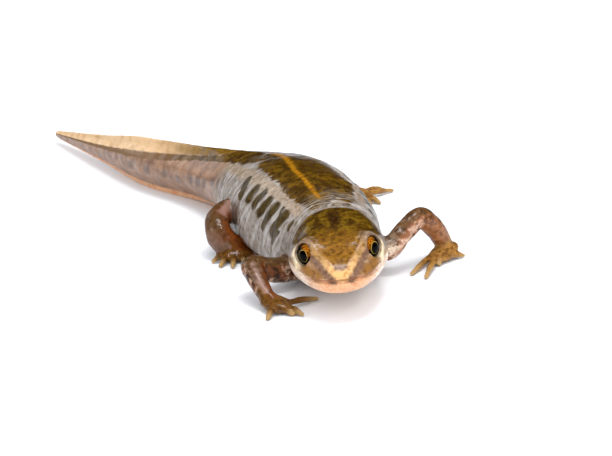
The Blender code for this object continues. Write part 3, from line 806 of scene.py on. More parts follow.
def trunk_relief(points, along, side, high):
    """Heights of the folds and wrinkles of neck, trunk and tail."""
    wander = 0.30 * noise(points, 1.6, 11) + 0.12 * noise(points, 0.6, 12)
    nape = bell(along - 10.3, 1.25) * smooth_step(high, -0.5, 0.2)
    height = -0.13 * bell(along - 9.55 + 0.5 * wander, 0.22) * smooth_step(high, 0.1, 0.6)
    height += 0.050 * nape * np.sin(2 * math.pi * (along + wander) / 0.62)
    gape = bell(along - 8.7 + 0.4 * wander, 0.22) * smooth_step(high, -0.15, -0.5)
    height -= 0.14 * gape
    flank = smooth_step(along, 11.0, 13.0) * smooth_step(along, 34.0, 29.0)
    flank = flank * smooth_step(np.abs(high), 0.95, 0.70)
    slant = along + 0.9 * high + wander
    patchy = 0.65 + 0.35 * noise(points, 1.4, 13)
    height += 0.048 * flank * patchy * np.sin(2 * math.pi * slant / 0.98)
    height += 0.010 * flank * np.sin(2 * math.pi * (slant + 0.3 * wander) / 0.50)
    ribs = smooth_step(along, 12.0, 14.0) * smooth_step(along, 30.0, 27.0)
    height += 0.05 * ribs * smooth_step(np.abs(high), 0.98, 0.6) * np.sin(2 * math.pi * slant / 2.55)
    back = smooth_step(high, 0.75, 0.9) * smooth_step(along, 10.5, 12.0) * smooth_step(along, 40, 34)
    height += back * (0.03 * noise(points, 0.8, 14) + 0.10 * bell(side, 0.10) - 0.05 * bell(side, 0.30))
    tail = smooth_step(along, 33.0, 38.0)
    muscle = smooth_step(np.abs(high), 0.72, 0.5)
    chevron = along + 1.2 * np.abs(high)
    height += 0.035 * tail * muscle * np.sin(2 * math.pi * chevron / 1.7)
    height += tail * 0.02 * noise(points, 0.7, 15)
    return height


def limb_relief(points, closeness):
    """Heights of the lumps and creases of the limbs."""
    return closeness * (0.035 * noise(points, 0.7, 21) + 0.018 * noise(points, 0.3, 22))


points, (along, side, high, depth, out, up), limb_depths, closest = measure(skin)
limb_share = np.clip(0.5 + (depth - closest) / 0.5, 0.0, 1.0)
normals = read_points(skin, "normal")
relief = (1 - limb_share) * (
    head_relief(points, along, side, high, out, up) + trunk_relief(points, along, side, high)
) + limb_relief(points, limb_share)
eye_gap = gap_to_eyes(points)
relief *= smooth_step(eye_gap, 1.16, 1.32)
points = points + normals * relief[:, None]
points[:, 2] = np.maximum(points[:, 2], 0.0)
write_points(skin, points)
print("relief in mm:", round(float(relief.min()), 2), "to", round(float(relief.max()), 2))

# %% [markdown]
# ## A map for the painter
# The newt's pattern follows its body, not the room: a dark band on the back with an orange line in
# it, a pale stripe beside it, a row of olive blotches on the flank. Each of these is a mask, a
# number from 0 to 1 at every point of the skin, from named edges along the spine. A few masks are
# painted light and shade instead: shade in the groin and on the lids, a highlight at the left
# shoulder, a pale brow that is partly a highlight, and the left limbs, painted paler as the lit side.
# The paint in the next cells only has to mix colours by these masks and fray their edges.

# %% A map for the painter
# Edges of the pattern: place along the spine, then the height's share or the step out from the middle
BAND_LOW = {
    9.2: 0.92, 10.6: 0.90, 11.9: 0.855, 13.2: 0.84, 14.8: 0.815, 16.8: 0.84, 18.9: 0.86, 21.2: 0.88,
    23.9: 0.89, 24.7: 0.94, 27.9: 0.88, 30.9: 0.84, 34.1: 0.76, 39.1: 0.60, 43.0: 0.44, 48.7: 0.29,
    54.2: 0.22, 62.0: 0.15,
}
BAND_HIGH = {30.0: 1.3, 34.0: 0.95, 38.1: 0.78, 43.2: 0.62, 49.0: 0.49, 54.0: 0.42, 62.0: 0.36}
LINE_OUT = {9.5: -0.55, 11.5: -0.75, 13.2: -1.00, 17.2: -1.05, 21.3: -0.55, 25.0: -0.1}
CAP_EDGE = {
    0.70: 0.0, 0.95: 0.55, 1.6: 1.02, 2.6: 1.62, 3.1: 1.90, 4.5: 2.48, 5.3: 2.95, 6.0: 3.45,
    7.0: 3.80, 8.0: 3.60, 8.8: 2.7, 9.3: 1.2, 9.5: 0.0,
}
# Lines of the head's marks: step to the side, place along, height above the line of the mouth
VEE = ((2.85, 4.9, 2.52), (2.26, 3.3, 2.35), (2.00, 2.75, 2.00), (1.40, 1.85, 1.52), (0.92, 0.88, 1.10),
       (0.58, 0.35, 0.74))
SADDLE = ((0.35, 0.72, 1.10), (0.0, 0.70, 1.12))
MAUVE = ((2.42, 2.9, 1.62), (2.17, 2.33, 1.50), (1.72, 1.35, 1.15), (1.28, 0.55, 0.66), (0.74, 0.12, 0.18))
CHEEK = ((3.05, 2.6, 0.80), (2.60, 1.80, 0.60), (2.00, 1.05, 0.48))
CORNER = ((3.90, 5.3, 1.55), (3.78, 4.5, 1.10), (3.52, 3.9, 0.72))
# Strokes of the flank: along and high of the upper end, the same of the lower end, and half width
STROKES = (
    (22.6, 0.70, 22.1, 0.50, 0.48), (20.0, 0.68, 20.2, 0.52, 0.42), (18.4, 0.68, 18.9, 0.49, 0.45),
    (16.8, 0.63, 17.5, 0.42, 0.46), (15.0, 0.62, 16.2, 0.26, 0.48), (13.0, 0.62, 14.2, 0.22, 0.48),
    (11.4, 0.59, 11.5, 0.44, 0.26), (13.1, 0.29, 13.9, 0.06, 0.24), (13.9, 0.67, 13.8, 0.58, 0.18),
)
TAIL_SPOTS = (
    (30.4, 0.42), (32.2, 0.33), (33.9, 0.26), (35.7, 0.12), (37.2, 0.07), (38.7, 0.03),
    (41.4, -0.12), (43.6, -0.06), (46.4, -0.10), (49.6, -0.08),
)
FLANK_RADIUS = 5.0
SAME = 1e-6


def edge(table, at):
    """Value of a named edge at places along the spine."""
    return curve(list(table), list(table.values()), at)


def round_flank(high):
    """Way round the flank in millimetres, from the share of the height: radius times arc sine."""
    return FLANK_RADIUS * np.arcsin(np.clip(high, -1.0, 1.0))


def flank_blotches(along, side, high):
    """Soft slanting strokes on both flanks, the left ones shifted a little by seeded wobble."""
    wobble = np.random.default_rng(7)
    flat = np.stack((along, round_flank(high)), axis=1)
    total = np.zeros(len(along))
    for hand in (LEFT, RIGHT):
        mine = (np.sign(side) == hand).astype(float)
        for first, top, last, low, half in STROKES:
            shift = wobble.uniform(-0.3, 0.3, 2) * (hand == LEFT)
            ends = np.array([[first, round_flank(top)], [last, round_flank(low)]]) + shift
            stroke = smooth_step(line_distance(flat, ends), half + 0.32, half - 0.20)
            total = np.maximum(total, mine * stroke)
    return total


head = smooth_step(along, 9.3, 8.6)
upper = smooth_step(high, -0.2, 0.1)
masks = {}
masks["limb"] = limb_share
hand_share, tip_share = np.zeros(len(points)), np.zeros(len(points))
for found, index in limb_depths.values():
    mine = found <= closest + SAME
    hand_share += mine * smooth_step(index, LIMB_SAMPLES - 14, LIMB_SAMPLES - 2)
    on_digit = (index - LIMB_SAMPLES) % DIGIT_SAMPLES
    tip_share += mine * (index >= LIMB_SAMPLES) * smooth_step(on_digit, 10.0, DIGIT_SAMPLES - 1)
masks["hand"] = hand_share * limb_share
calf = np.array([(-10.2, 20.8, 3.2), (-9.6, 19.2, 2.2), (-8.2, 18.8, 1.5)])
inner_arm = np.array([(-6.7, 7.7, 2.9), (-6.3, 5.9, 2.1), (-5.8, 4.5, 1.2)])
masks["rust"] = np.maximum(bell(line_distance(points, calf), 1.25),
                           bell(line_distance(points, inner_arm), 0.48))
shin = np.array([(-9.3, 22.0, 4.5), (-10.0, 20.4, 3.9)])
front_arm = np.array([(-7.4, 7.4, 3.2), (-6.95, 5.8, 2.4), (-6.4, 4.6, 1.7)])
masks["sheen"] = np.maximum(bell(line_distance(points, shin), 0.50),
                            bell(line_distance(points, front_arm), 0.34))
masks["leg"] = limb_share * (limb_depths["leg_right"][0] <= closest + SAME)
left_arm = limb_depths["arm_left"]
# Painted light: the newt's left arm and leg are painted paler than the right ones, as the side the light
# falls on
masks["lit_side_limbs"] = limb_share * (np.minimum(left_arm[0], limb_depths["leg_left"][0]) <= closest + SAME)
masks["elbow"] = masks["lit_side_limbs"] * smooth_step(left_arm[1], 37.38, 58.74)
masks["dorsal"] = limb_share * smooth_step(normals[:, 2], 0.2, 0.8)
# Painted highlight: a near-white patch where the left arm meets the body
masks["shoulder"] = limb_share * bell(np.linalg.norm(points - (4.4, 11.2, 2.9), axis=1), 1.1)
masks["tip_pale"] = tip_share * limb_share
on_limbs = tuple(masks)
band = smooth_step(high, edge(BAND_LOW, along) - 0.05, edge(BAND_LOW, along) + 0.05)
band *= 1 - smooth_step(high, edge(BAND_HIGH, along) - 0.06, edge(BAND_HIGH, along) + 0.06)
masks["band"] = band * smooth_step(along, 9.2, 10.2)
masks["line"] = bell(out - edge(LINE_OUT, along), 0.23) * smooth_step(high, 0.7, 0.9)
masks["line"] *= smooth_step(along, 10.6, 13.0) * smooth_step(along, 29.0, 25.0)
masks["blotch"] = flank_blotches(along, side, high)
masks["belly"] = smooth_step(high, -0.58, -0.88) * smooth_step(along, 9.0, 11.0)
masks["tail"] = smooth_step(along, 30.0, 35.0)
spots = [bell(along - place_of, 0.62) * bell(high - level, 0.20) for place_of, level in TAIL_SPOTS]
masks["tail_spot"] = np.maximum.reduce(spots)
masks["fin"] = smooth_step(high, edge(BAND_HIGH, along) - 0.05, edge(BAND_HIGH, along) + 0.08)
masks["fin"] *= smooth_step(along, 29.0, 31.0)
masks["keel"] = smooth_step(high, -0.62, -0.95) * smooth_step(along, 31.0, 36.0)
masks["far"] = smooth_step(along, 37.0, 48.0)
masks["brown"] = smooth_step(along, 6.4, 2.6)
masks["tip"] = smooth_step(along, 2.6, 0.5)
masks["midline"] = bell(out, 0.7) * bell(along - 7.2, 1.9)
masks["cap"] = smooth_step(edge(CAP_EDGE, along) - np.abs(out), -0.18, 0.18) * head * upper
patch = smooth_step(0.30 + 0.62 * up - np.abs(out), -0.14, 0.14) * smooth_step(up, -0.05, 0.10)
patch *= smooth_step(up, 1.0, 0.8) * smooth_step(along, 1.3, 0.9)
masks["vee"] = np.maximum(bell(both_sides(points, VEE), 0.31), patch)
# The brow mark is partly pale skin and partly a painted wet highlight
for name, path, width in (("saddle", SADDLE, 0.26), ("mauve", MAUVE, 0.40), ("cheek", CHEEK, 0.60),
                          ("corner", CORNER, 0.68), ("brow_pale_and_sheen", BROW, 0.20)):
    masks[name] = bell(both_sides(points, path), width)
# Painted shade on the lids: a darker band just outside each eye opening
masks["lid_shade"] = bell(eye_gap - 1.26, 0.10)
masks["jaw"] = head * smooth_step(up, 0.42, 0.22)
masks["head"] = head * np.maximum(smooth_step(along, 6.6, 4.4), smooth_step(up, 1.3, -0.1))
masks["gape"] = smooth_step(along, 0.3, 3.2)
masks["lip"] = head * bell(up - 0.20, 0.10) * smooth_step(along, 1.9, 1.2)
masks["rim"] = smooth_step(eye_gap, 1.22, 1.14)
masks["nape"] = bell(along - 10.5, 1.5) * smooth_step(high, 0.0, 0.5)
masks["flank"] = smooth_step(along, 11.0, 13.0) * smooth_step(along, 36.0, 30.0)
# Painted shade: dark brown on the right flank in front of the hind leg, where the thigh shades the groin
masks["groin_shade"] = smooth_step(along, 20.4, 22.2) * smooth_step(along, 28.0, 25.0)
masks["groin_shade"] *= smooth_step(high, 0.55, 0.1) * smooth_step(side, 0.0, -0.3)
masks["stripe"] = bell(high - 0.76, 0.09) * smooth_step(along, 10.0, 12.0) * smooth_step(along, 37.0, 32.0)
for name, values in masks.items():
    if name not in on_limbs:
        values = values * (1 - limb_share)
    store(skin, name, values)
slant = along + 0.5 * round_flank(high) * masks["flank"]
skin_map = np.stack((slant, side * curve(PLACES, STATIONS[:, 3], along), high), axis=-1)
store(skin, "skin_map", skin_map)
write_points(skin, place(points))
print("masks:", ", ".join(masks))

# %% [markdown]
# ## Nodes made short
# A material is a net of nodes. Small helpers add a node with its settings and links in one line,
# so that a coat of paint reads as one sentence. Effects that are used many times over become node
# groups: a frayed edge for a mask, a mottling of one colour with flecks of another, and streaks.

# %% Nodes made short
GREY = (0.5, 0.5, 0.5, 1.0)


def connect(tree, target, inputs):
    """Give each input of a node its value, or link it to a socket."""
    for name, value in inputs.items():
        if isinstance(value, bpy.types.NodeSocket):
            tree.links.new(value, target.inputs[name])
        else:
            target.inputs[name].default_value = value
    return target


def node(tree, kind, inputs=None, **settings):
    """Add a shader node with its settings, and with values or links for its inputs."""
    made = tree.nodes.new("ShaderNode" + kind)
    for name, value in settings.items():
        setattr(made, name, value)
    return connect(tree, made, inputs or {})


def maths(tree, operation, first, second=0.0):
    """Output of a maths node."""
    return node(tree, "Math", {0: first, 1: second}, operation=operation).outputs[0]


def times(tree, first, second):
    """Product of two values."""
    return maths(tree, "MULTIPLY", first, second)


def swing(tree, value, middle, scale):
    """How far a value lies above a middle, times a scale."""
    return times(tree, maths(tree, "SUBTRACT", value, middle), scale)


def ramp(tree, value, low, high, first=0.0, last=1.0, kind="LINEAR"):
    """Value that goes from first, where the input is low, to last, where it is high."""
    spread = {"Value": value, "From Min": low, "From Max": high, "To Min": first, "To Max": last}
    return node(tree, "MapRange", spread, interpolation_type=kind).outputs[0]


def soft_cut(tree, value, middle, soft):
    """Nought below a middle and one above it, with a smooth change over soft on either side."""
    low, high = maths(tree, "SUBTRACT", middle, soft), maths(tree, "ADD", middle, soft)
    return ramp(tree, value, low, high, kind="SMOOTHSTEP")


def tone(colour):
    """Linear colour of a paint given in the 0 to 255 of a screen. Others stay as they are."""
    if isinstance(colour, bpy.types.NodeSocket) or len(colour) == 4:
        return colour
    values = np.array(colour) / 255.0
    linear = np.where(values <= 0.04045, values / 12.92, ((values + 0.055) / 1.055) ** 2.4)
    return (*linear.tolist(), 1.0)


def mix(tree, share, first, second):
    """Colour that goes from first to second as share goes from 0 to 1."""
    colours = {0: share, 6: tone(first), 7: tone(second)}
    return node(tree, "Mix", colours, data_type="RGBA").outputs[2]


def mask(tree, name):
    """Output of a mask that is stored on the skin's points."""
    return node(tree, "Attribute", attribute_name=name).outputs["Fac"]


def group(name, output, **inputs):
    """New node group with named sockets, a colour for a tuple and a number otherwise, and its ends."""
    made = bpy.data.node_groups.new(name, "ShaderNodeTree")
    for label, value in inputs.items():
        kind = "NodeSocketColor" if isinstance(value, tuple) else "NodeSocketFloat"
        socket = made.interface.new_socket(name=label, in_out="INPUT", socket_type=kind)
        socket.default_value = value
    kind = "NodeSocketColor" if output == "Color" else "NodeSocketFloat"
    made.interface.new_socket(name=output, in_out="OUTPUT", socket_type=kind)
    return made, made.nodes.new("NodeGroupInput").outputs, made.nodes.new("NodeGroupOutput").inputs


def object_noise(tree, size, detail=2.0, rough=0.5, seed=0.0):
    """Noise whose features are about size, in millimetres, on Object coordinates."""
    where = node(tree, "TexCoord").outputs["Object"]
    moved = node(tree, "Mapping", {"Vector": where, "Location": (seed, seed * 0.7, -seed)}).outputs[0]
    scale = maths(tree, "DIVIDE", 1 / MM, size)
    look = {"Vector": moved, "Scale": scale, "Detail": detail, "Roughness": rough}
    return node(tree, "TexNoise", look).outputs["Fac"]


def frayed_edge_group():
    """Group that frays a mask: noise is added, and the result is cut again round one half."""
    made, start, end = group("frayed_edge", "Mask", Mask=0.0, Size=0.3, Fray=0.5, Soft=0.2)
    push = swing(made, object_noise(made, start["Size"], 3.0, 0.55, 0.11), 0.5, start["Fray"])
    frayed = maths(made, "ADD", start["Mask"], push)
    made.links.new(soft_cut(made, frayed, 0.5, start["Soft"]), end["Mask"])
    return made


def mottle_group():
    """Group that puts flecks of one colour on another: where noise is above a cut, flecks show."""
    made, start, end = group("mottle", "Color", Main=GREY, Fleck=GREY, Size=0.4, Cut=0.55, Soft=0.06)
    grain = object_noise(made, start["Size"], 4.0, 0.6, 0.37)
    share = soft_cut(made, grain, start["Cut"], start["Soft"])
    made.links.new(mix(made, share, start["Main"], start["Fleck"]), end["Color"])
    return made


def streaks_group():
    """Group of streaks that run round the body: noise on the skin's map, fine along the spine."""
    made, start, end = group("streaks", "Mask", Along=3.0, Around=0.6, Cut=0.55, Soft=0.08)
    where = node(made, "Attribute", attribute_name="skin_map").outputs["Vector"]
    around = start["Around"]
    scale = node(made, "CombineXYZ", {"X": start["Along"], "Y": around, "Z": around}).outputs[0]
    stretched = node(made, "VectorMath", {0: where, 1: scale}, operation="MULTIPLY").outputs[0]
    look = {"Vector": stretched, "Scale": 1.0, "Detail": 3.0, "Roughness": 0.55, "Distortion": 0.6}
    grain = node(made, "TexNoise", look).outputs["Fac"]
    made.links.new(soft_cut(made, grain, start["Cut"], start["Soft"]), end["Mask"])
    return made


FRAYED_EDGE = frayed_edge_group()
MOTTLE = mottle_group()
STREAKS = streaks_group()


def placed(tree, made_group, **values):
    """Output of a group that is placed in a material with its values."""
    return node(tree, "Group", values, node_tree=made_group).outputs[0]


def fray(tree, name, size, amount, soft, strength=1.0):
    """A stored mask with a frayed edge, times a strength."""
    frayed = placed(tree, FRAYED_EDGE, Mask=mask(tree, name), Size=size, Fray=amount, Soft=soft)
    return frayed if strength == 1.0 else times(tree, frayed, strength)


def combed(tree, name, streaks, size, amount, soft, comb):
    """A stored mask whose frayed edge is also drawn out along the streaks."""
    pulled = maths(tree, "SUBTRACT", mask(tree, name), swing(tree, streaks, 0.45, comb))
    return placed(tree, FRAYED_EDGE, Mask=pulled, Size=size, Fray=amount, Soft=soft)


def mottle(tree, main, fleck, size, cut, soft):
    """One colour with flecks of another."""
    return placed(tree, MOTTLE, Main=tone(main), Fleck=tone(fleck), Size=size, Cut=cut, Soft=soft)


def layer(tree, colour, name, main, fleck, flecks, edge, strength=1.0):
    """A mottled paint laid over a colour, inside a mask with a frayed edge."""
    return mix(tree, fray(tree, name, *edge, strength), colour, mottle(tree, main, fleck, *flecks))


def material(name, look):
    """Material with one Principled shader. Look works out its inputs in the new tree."""
    made = bpy.data.materials.new(name)
    made.use_nodes = True
    connect(made.node_tree, made.node_tree.nodes["Principled BSDF"], look(made.node_tree))
    return made


print("groups:", FRAYED_EDGE.name, MOTTLE.name, STREAKS.name)

# %% [markdown]
# ## Painting the skin
# The paint goes on in layers, as on a real model: a pale ground, then tail, belly and blotches,
# then the dark back, the limbs, and at last the marks of the head. Every layer is two tones mixed
# by a mottle, because skin is never one colour. Wet skin is a rough base under a smooth coat: the
# coat gives the sharp lights, the base its soft sheen. Two reliefs too fine for the mesh, pebbles
# and creases, go into a bump.

# %% Painting the skin
def skin_colour(tree):
    """Colour of the whole skin, layer by layer."""
    ground = mottle(tree, (106, 92, 76), (146, 136, 128), 0.6, 0.50, 0.16)
    streaks = placed(tree, STREAKS, Along=2.3, Around=0.75, Cut=0.54, Soft=0.14)
    # Pale streaks on flank and nape: partly the pale skin and partly painted wet highlights
    patches = times(tree, object_noise(tree, 2.2, 2.0, 0.5, 0.23), 0.9)
    pale = times(tree, maths(tree, "ADD", mask(tree, "flank"), mask(tree, "nape")), patches)
    ground = mix(tree, times(tree, pale, streaks), ground, (198, 192, 190))
    ground = layer(tree, ground, "stripe", (160, 142, 124), (124, 106, 84),
                   (0.4, 0.52, 0.16), (0.4, 0.6, 0.3))
    # Painted shade in the groin, in front of the right hind leg
    ground = mix(tree, fray(tree, "groin_shade", 0.5, 0.6, 0.4, 0.8), ground, (70, 46, 28))
    colour = layer(tree, ground, "belly", (206, 110, 34), (50, 34, 24),
                   (0.9, 0.66, 0.02), (0.6, 0.5, 0.3))
    colour = layer(tree, colour, "tail", (156, 122, 98), (112, 86, 72),
                   (1.1, 0.54, 0.24), (1.6, 0.5, 0.5))
    colour = mix(tree, fray(tree, "tail_spot", 0.6, 0.9, 0.32, 0.7), colour, (88, 72, 68))
    colour = layer(tree, colour, "keel", (224, 172, 130), (206, 140, 96),
                   (0.7, 0.55, 0.1), (0.5, 0.3, 0.3))
    blotch = mottle(tree, (72, 56, 20), (44, 32, 8), 0.6, 0.5, 0.16)
    colour = mix(tree, combed(tree, "blotch", streaks, 0.40, 0.4, 0.34, 0.22), colour, blotch)
    band = mottle(tree, (60, 38, 2), (102, 72, 4), 0.9, 0.52, 0.14)
    band = mottle(tree, band, (44, 26, 2), 0.4, 0.60, 0.08)
    band = mix(tree, times(tree, mask(tree, "far"), 0.75), band, (128, 98, 72))
    # Pale streaks over the band at the nape: partly pale skin in the folds and partly painted wet glints
    wrinkles = times(tree, times(tree, streaks, mask(tree, "nape")), 0.7)
    band = mix(tree, wrinkles, band, (200, 190, 180))
    colour = mix(tree, combed(tree, "band", streaks, 0.35, 0.5, 0.20, 0.5), colour, band)
    gold = mottle(tree, (118, 86, 18), (84, 58, 8), 0.7, 0.55, 0.2)
    pale = mottle(tree, (214, 178, 136), (186, 148, 104), 1.1, 0.58, 0.16)
    fin = mix(tree, mask(tree, "far"), gold, pale)
    colour = mix(tree, fray(tree, "fin", 0.5, 0.4, 0.35), colour, fin)
    colour = layer(tree, colour, "line", (168, 112, 2), (122, 78, 2),
                   (0.4, 0.53, 0.14), (0.35, 0.7, 0.45))
    limb = mottle(tree, (112, 64, 34), (190, 158, 134), 0.8, 0.56, 0.07)
    limb = mottle(tree, limb, (50, 28, 12), 0.65, 0.53, 0.08)
    # Painted light: paler paint for the newt's left arm and leg, the side the light falls on
    light = mottle(tree, (144, 94, 64), (216, 180, 156), 0.8, 0.53, 0.10)
    elbow = mottle(tree, (134, 82, 44), (164, 112, 74), 0.8, 0.58, 0.14)
    light = mix(tree, mask(tree, "elbow"), light, elbow)
    # Painted highlight: near-white patch at the root of the left arm
    light = mix(tree, fray(tree, "shoulder", 0.5, 0.6, 0.3), light, (238, 214, 190))
    light = mottle(tree, light, (84, 50, 28), 0.5, 0.58, 0.12)
    limb = mix(tree, mask(tree, "lit_side_limbs"), limb, light)
    leg = mottle(tree, (88, 58, 36), (124, 92, 74), 1.2, 0.57, 0.18)
    limb = mix(tree, mask(tree, "leg"), limb, leg)
    limb = layer(tree, limb, "dorsal", (82, 58, 26), (56, 36, 14),
                 (0.5, 0.54, 0.12), (0.6, 0.8, 0.35), 0.8)
    hand = mottle(tree, (100, 63, 14), (62, 36, 6), 0.4, 0.55, 0.12)
    # Painted light: paler hand paint for the left hand and foot, the lit side
    light = mottle(tree, (160, 114, 54), (104, 66, 22), 0.45, 0.53, 0.14)
    hand = mix(tree, mask(tree, "lit_side_limbs"), hand, light)
    hand = mix(tree, times(tree, mask(tree, "tip_pale"), 0.8), hand, (176, 142, 90))
    limb = mix(tree, fray(tree, "hand", 0.6, 0.5, 0.3), limb, hand)
    limb = layer(tree, limb, "rust", (112, 54, 12), (64, 32, 8),
                 (0.9, 0.52, 0.18), (0.5, 0.5, 0.35))
    limb = mix(tree, fray(tree, "sheen", 0.4, 1.1, 0.4, 0.5), limb, (170, 134, 122))
    colour = mix(tree, fray(tree, "limb", 0.4, 0.4, 0.25), colour, limb)
    return head_colour(tree, colour)


def head_colour(tree, colour):
    """Colour of the head over the colour of the rest."""
    colour = layer(tree, colour, "head", (150, 116, 82), (188, 158, 128),
                   (0.4, 0.55, 0.1), (0.5, 0.3, 0.3))
    jaw = mottle(tree, (224, 172, 130), (206, 140, 98), 0.34, 0.57, 0.14)
    pale = mottle(tree, (242, 222, 204), (214, 178, 152), 0.34, 0.57, 0.14)
    jaw = mix(tree, mask(tree, "gape"), jaw, pale)
    colour = mix(tree, fray(tree, "jaw", 0.3, 0.3, 0.2), colour, jaw)
    colour = layer(tree, colour, "corner", (246, 224, 188), (200, 164, 124),
                   (0.36, 0.60, 0.08), (0.35, 0.6, 0.35))
    colour = layer(tree, colour, "cheek", (142, 98, 46), (108, 70, 28),
                   (0.40, 0.56, 0.12), (0.5, 0.8, 0.5))
    colour = layer(tree, colour, "mauve", (126, 94, 74), (88, 60, 46),
                   (0.36, 0.54, 0.16), (0.32, 1.0, 0.45))
    dashes = placed(tree, STREAKS, Along=4.2, Around=1.6, Cut=0.52, Soft=0.10)
    cap = mottle(tree, (64, 40, 0), (118, 88, 6), 0.8, 0.51, 0.10)
    cap = mottle(tree, cap, (34, 20, 0), 0.32, 0.60, 0.06)
    front = mottle(tree, (140, 94, 22), (98, 62, 6), 0.42, 0.54, 0.10)
    cap = mix(tree, mask(tree, "brown"), cap, front)
    cap = mix(tree, times(tree, dashes, 0.35), cap, (60, 34, 2))
    cap = mix(tree, fray(tree, "midline", 0.6, 1.4, 0.3, 0.8), cap, (40, 18, 2))
    colour = mix(tree, combed(tree, "cap", dashes, 0.3, 0.5, 0.22, 0.3), colour, cap)
    vee = mottle(tree, (172, 132, 80), (118, 84, 40), 0.36, 0.54, 0.14)
    tip = mottle(tree, (228, 178, 118), (186, 134, 78), 0.30, 0.55, 0.12)
    vee = mix(tree, mask(tree, "tip"), vee, tip)
    colour = mix(tree, fray(tree, "vee", 0.30, 1.0, 0.45), colour, vee)
    colour = mix(tree, fray(tree, "lip", 0.3, 0.5, 0.35, 0.75), colour, (126, 78, 48))
    colour = layer(tree, colour, "saddle", (150, 122, 104), (104, 70, 50),
                   (0.25, 0.52, 0.14), (0.25, 0.5, 0.3))
    # Painted shade on the lids round each eye
    lid_shade = mottle(tree, (110, 92, 78), (70, 52, 40), 0.3, 0.54, 0.14)
    colour = mix(tree, times(tree, mask(tree, "lid_shade"), 0.75), colour, lid_shade)
    # Pale fold over each eye: partly pale skin and partly a painted wet highlight
    colour = layer(tree, colour, "brow_pale_and_sheen", (214, 200, 172), (150, 130, 94),
                   (0.3, 0.54, 0.16), (0.3, 0.8, 0.35), 0.8)
    return mix(tree, mask(tree, "rim"), colour, (26, 15, 10))


def skin_bump(tree):
    """Normal from pebbles all over and creases that run across the flank and nape."""
    where = node(tree, "TexCoord").outputs["Object"]
    pebbles = node(tree, "TexVoronoi", {"Vector": where, "Scale": 4200.0, "Smoothness": 0.7},
                   feature="SMOOTH_F1").outputs["Distance"]
    fine = object_noise(tree, 0.16, 3.0, 0.6, 0.53)
    mapped = node(tree, "Attribute", attribute_name="skin_map").outputs["Vector"]
    stretched = node(tree, "Mapping", {"Vector": mapped, "Scale": (3.4, 0.7, 2.0)}).outputs[0]
    look = {"Vector": stretched, "Scale": 1.0, "Detail": 3.0, "Roughness": 0.6, "Distortion": 0.4}
    creases = node(tree, "TexNoise", look).outputs["Fac"]
    folded = maths(tree, "ADD", mask(tree, "flank"), times(tree, mask(tree, "nape"), 1.6))
    height = maths(tree, "ADD", times(tree, pebbles, 0.5), times(tree, fine, 0.5))
    height = maths(tree, "ADD", height, times(tree, creases, folded))
    return node(tree, "Bump", {"Height": height, "Strength": 0.8, "Distance": 0.00006}).outputs[0]


def skin_look(tree):
    """Wet skin: mottled colour, soft base, smooth coat, and a little light let in."""
    return {
        "Base Color": skin_colour(tree),
        "Roughness": ramp(tree, object_noise(tree, 0.7, 2.0, 0.5, 0.71), 0.0, 1.0, 0.34, 0.52),
        "Subsurface Weight": 0.12,
        "Subsurface Radius": (1.0, 0.45, 0.25),
        "Subsurface Scale": 0.0006,
        "Specular IOR Level": 0.08,
        "Coat Weight": ramp(tree, object_noise(tree, 1.3, 2.0, 0.5, 0.91), 0.35, 0.65, 0.20, 0.56),
        "Coat Roughness": 0.17,
        "Normal": skin_bump(tree),
    }


skin.data.materials.clear()
skin.data.materials.append(material("newt_skin", skin_look))
skin.data.shade_smooth()
flesh = sorted(name for name in frame["nodes"] if not name.startswith("eye"))
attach(skin, "root")
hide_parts(*flesh)
print("skin stands for", len(flesh), "nodes")

# %% [markdown]
# ## The eyes
# A newt's eye is a dark ball with an upright oval pupil, a thin bright ring round it, and an iris of
# gold flecks that is brightest above and towards the nose. The clear front bulges a little. Each
# eye is one surface of rings round the line of sight. Three numbers are stored at its points and
# read by the paint: the angle from the line of sight, made smaller above and below so that the
# pupil turns oval, and how far the point lies up and towards the nose. A thin coat stands for the
# wet cornea.

# %% The eyes
CORNEA_RADIUS, CORNEA_OFFSET = 0.86, 0.28
OVAL = 0.36
PUPIL_EDGE, RING_ANGLE, RIM_EDGE = (20.5, 21.6), 23.0, (50.0, 58.0)


def eye_object(name, hand):
    """Ball with a smaller ball set forwards for the cornea: at each angle the farther one counts."""
    sight = direction(hand, GAZE_OUT, GAZE_UP)
    side, up = axes_round(sight)
    angle = np.radians(np.concatenate((np.arange(1.0, 60.0, 1.6), np.arange(60.0, 179.0, 5.0))))
    inside = np.clip(CORNEA_RADIUS**2 - (CORNEA_OFFSET * np.sin(angle)) ** 2, 0.0, None)
    bulge = CORNEA_OFFSET * np.cos(angle) + np.sqrt(inside)
    reach = np.maximum(EYE_RADIUS - 0.02, np.where(angle < math.pi / 2, bulge, 0.0))
    out = directions_round(steps_round(EYE_SIDES), side, up)
    rows = eye_centre(hand) + reach[:, None, None] * (
        np.cos(angle)[:, None, None] * sight + np.sin(angle)[:, None, None] * out
    )
    front, back = eye_centre(hand) + sight * reach[0], eye_centre(hand) - sight * reach[-1]
    made = closed_tube(name, rows, front, back)
    points = read_points(made)
    ray = (points - eye_centre(hand)) / np.linalg.norm(points - eye_centre(hand), axis=1)[:, None]
    above, beside = ray @ up, ray @ side * hand
    upright = above**2 / np.maximum(above**2 + beside**2, 1e-9)
    oval = np.degrees(np.arccos(np.clip(ray @ sight, -1, 1))) * np.sqrt(1 - OVAL * upright)
    for label, values in (("angle", oval), ("above", above), ("beside", beside)):
        store(made, label, values)
    write_points(made, place(points))
    made.data.shade_smooth()
    return made


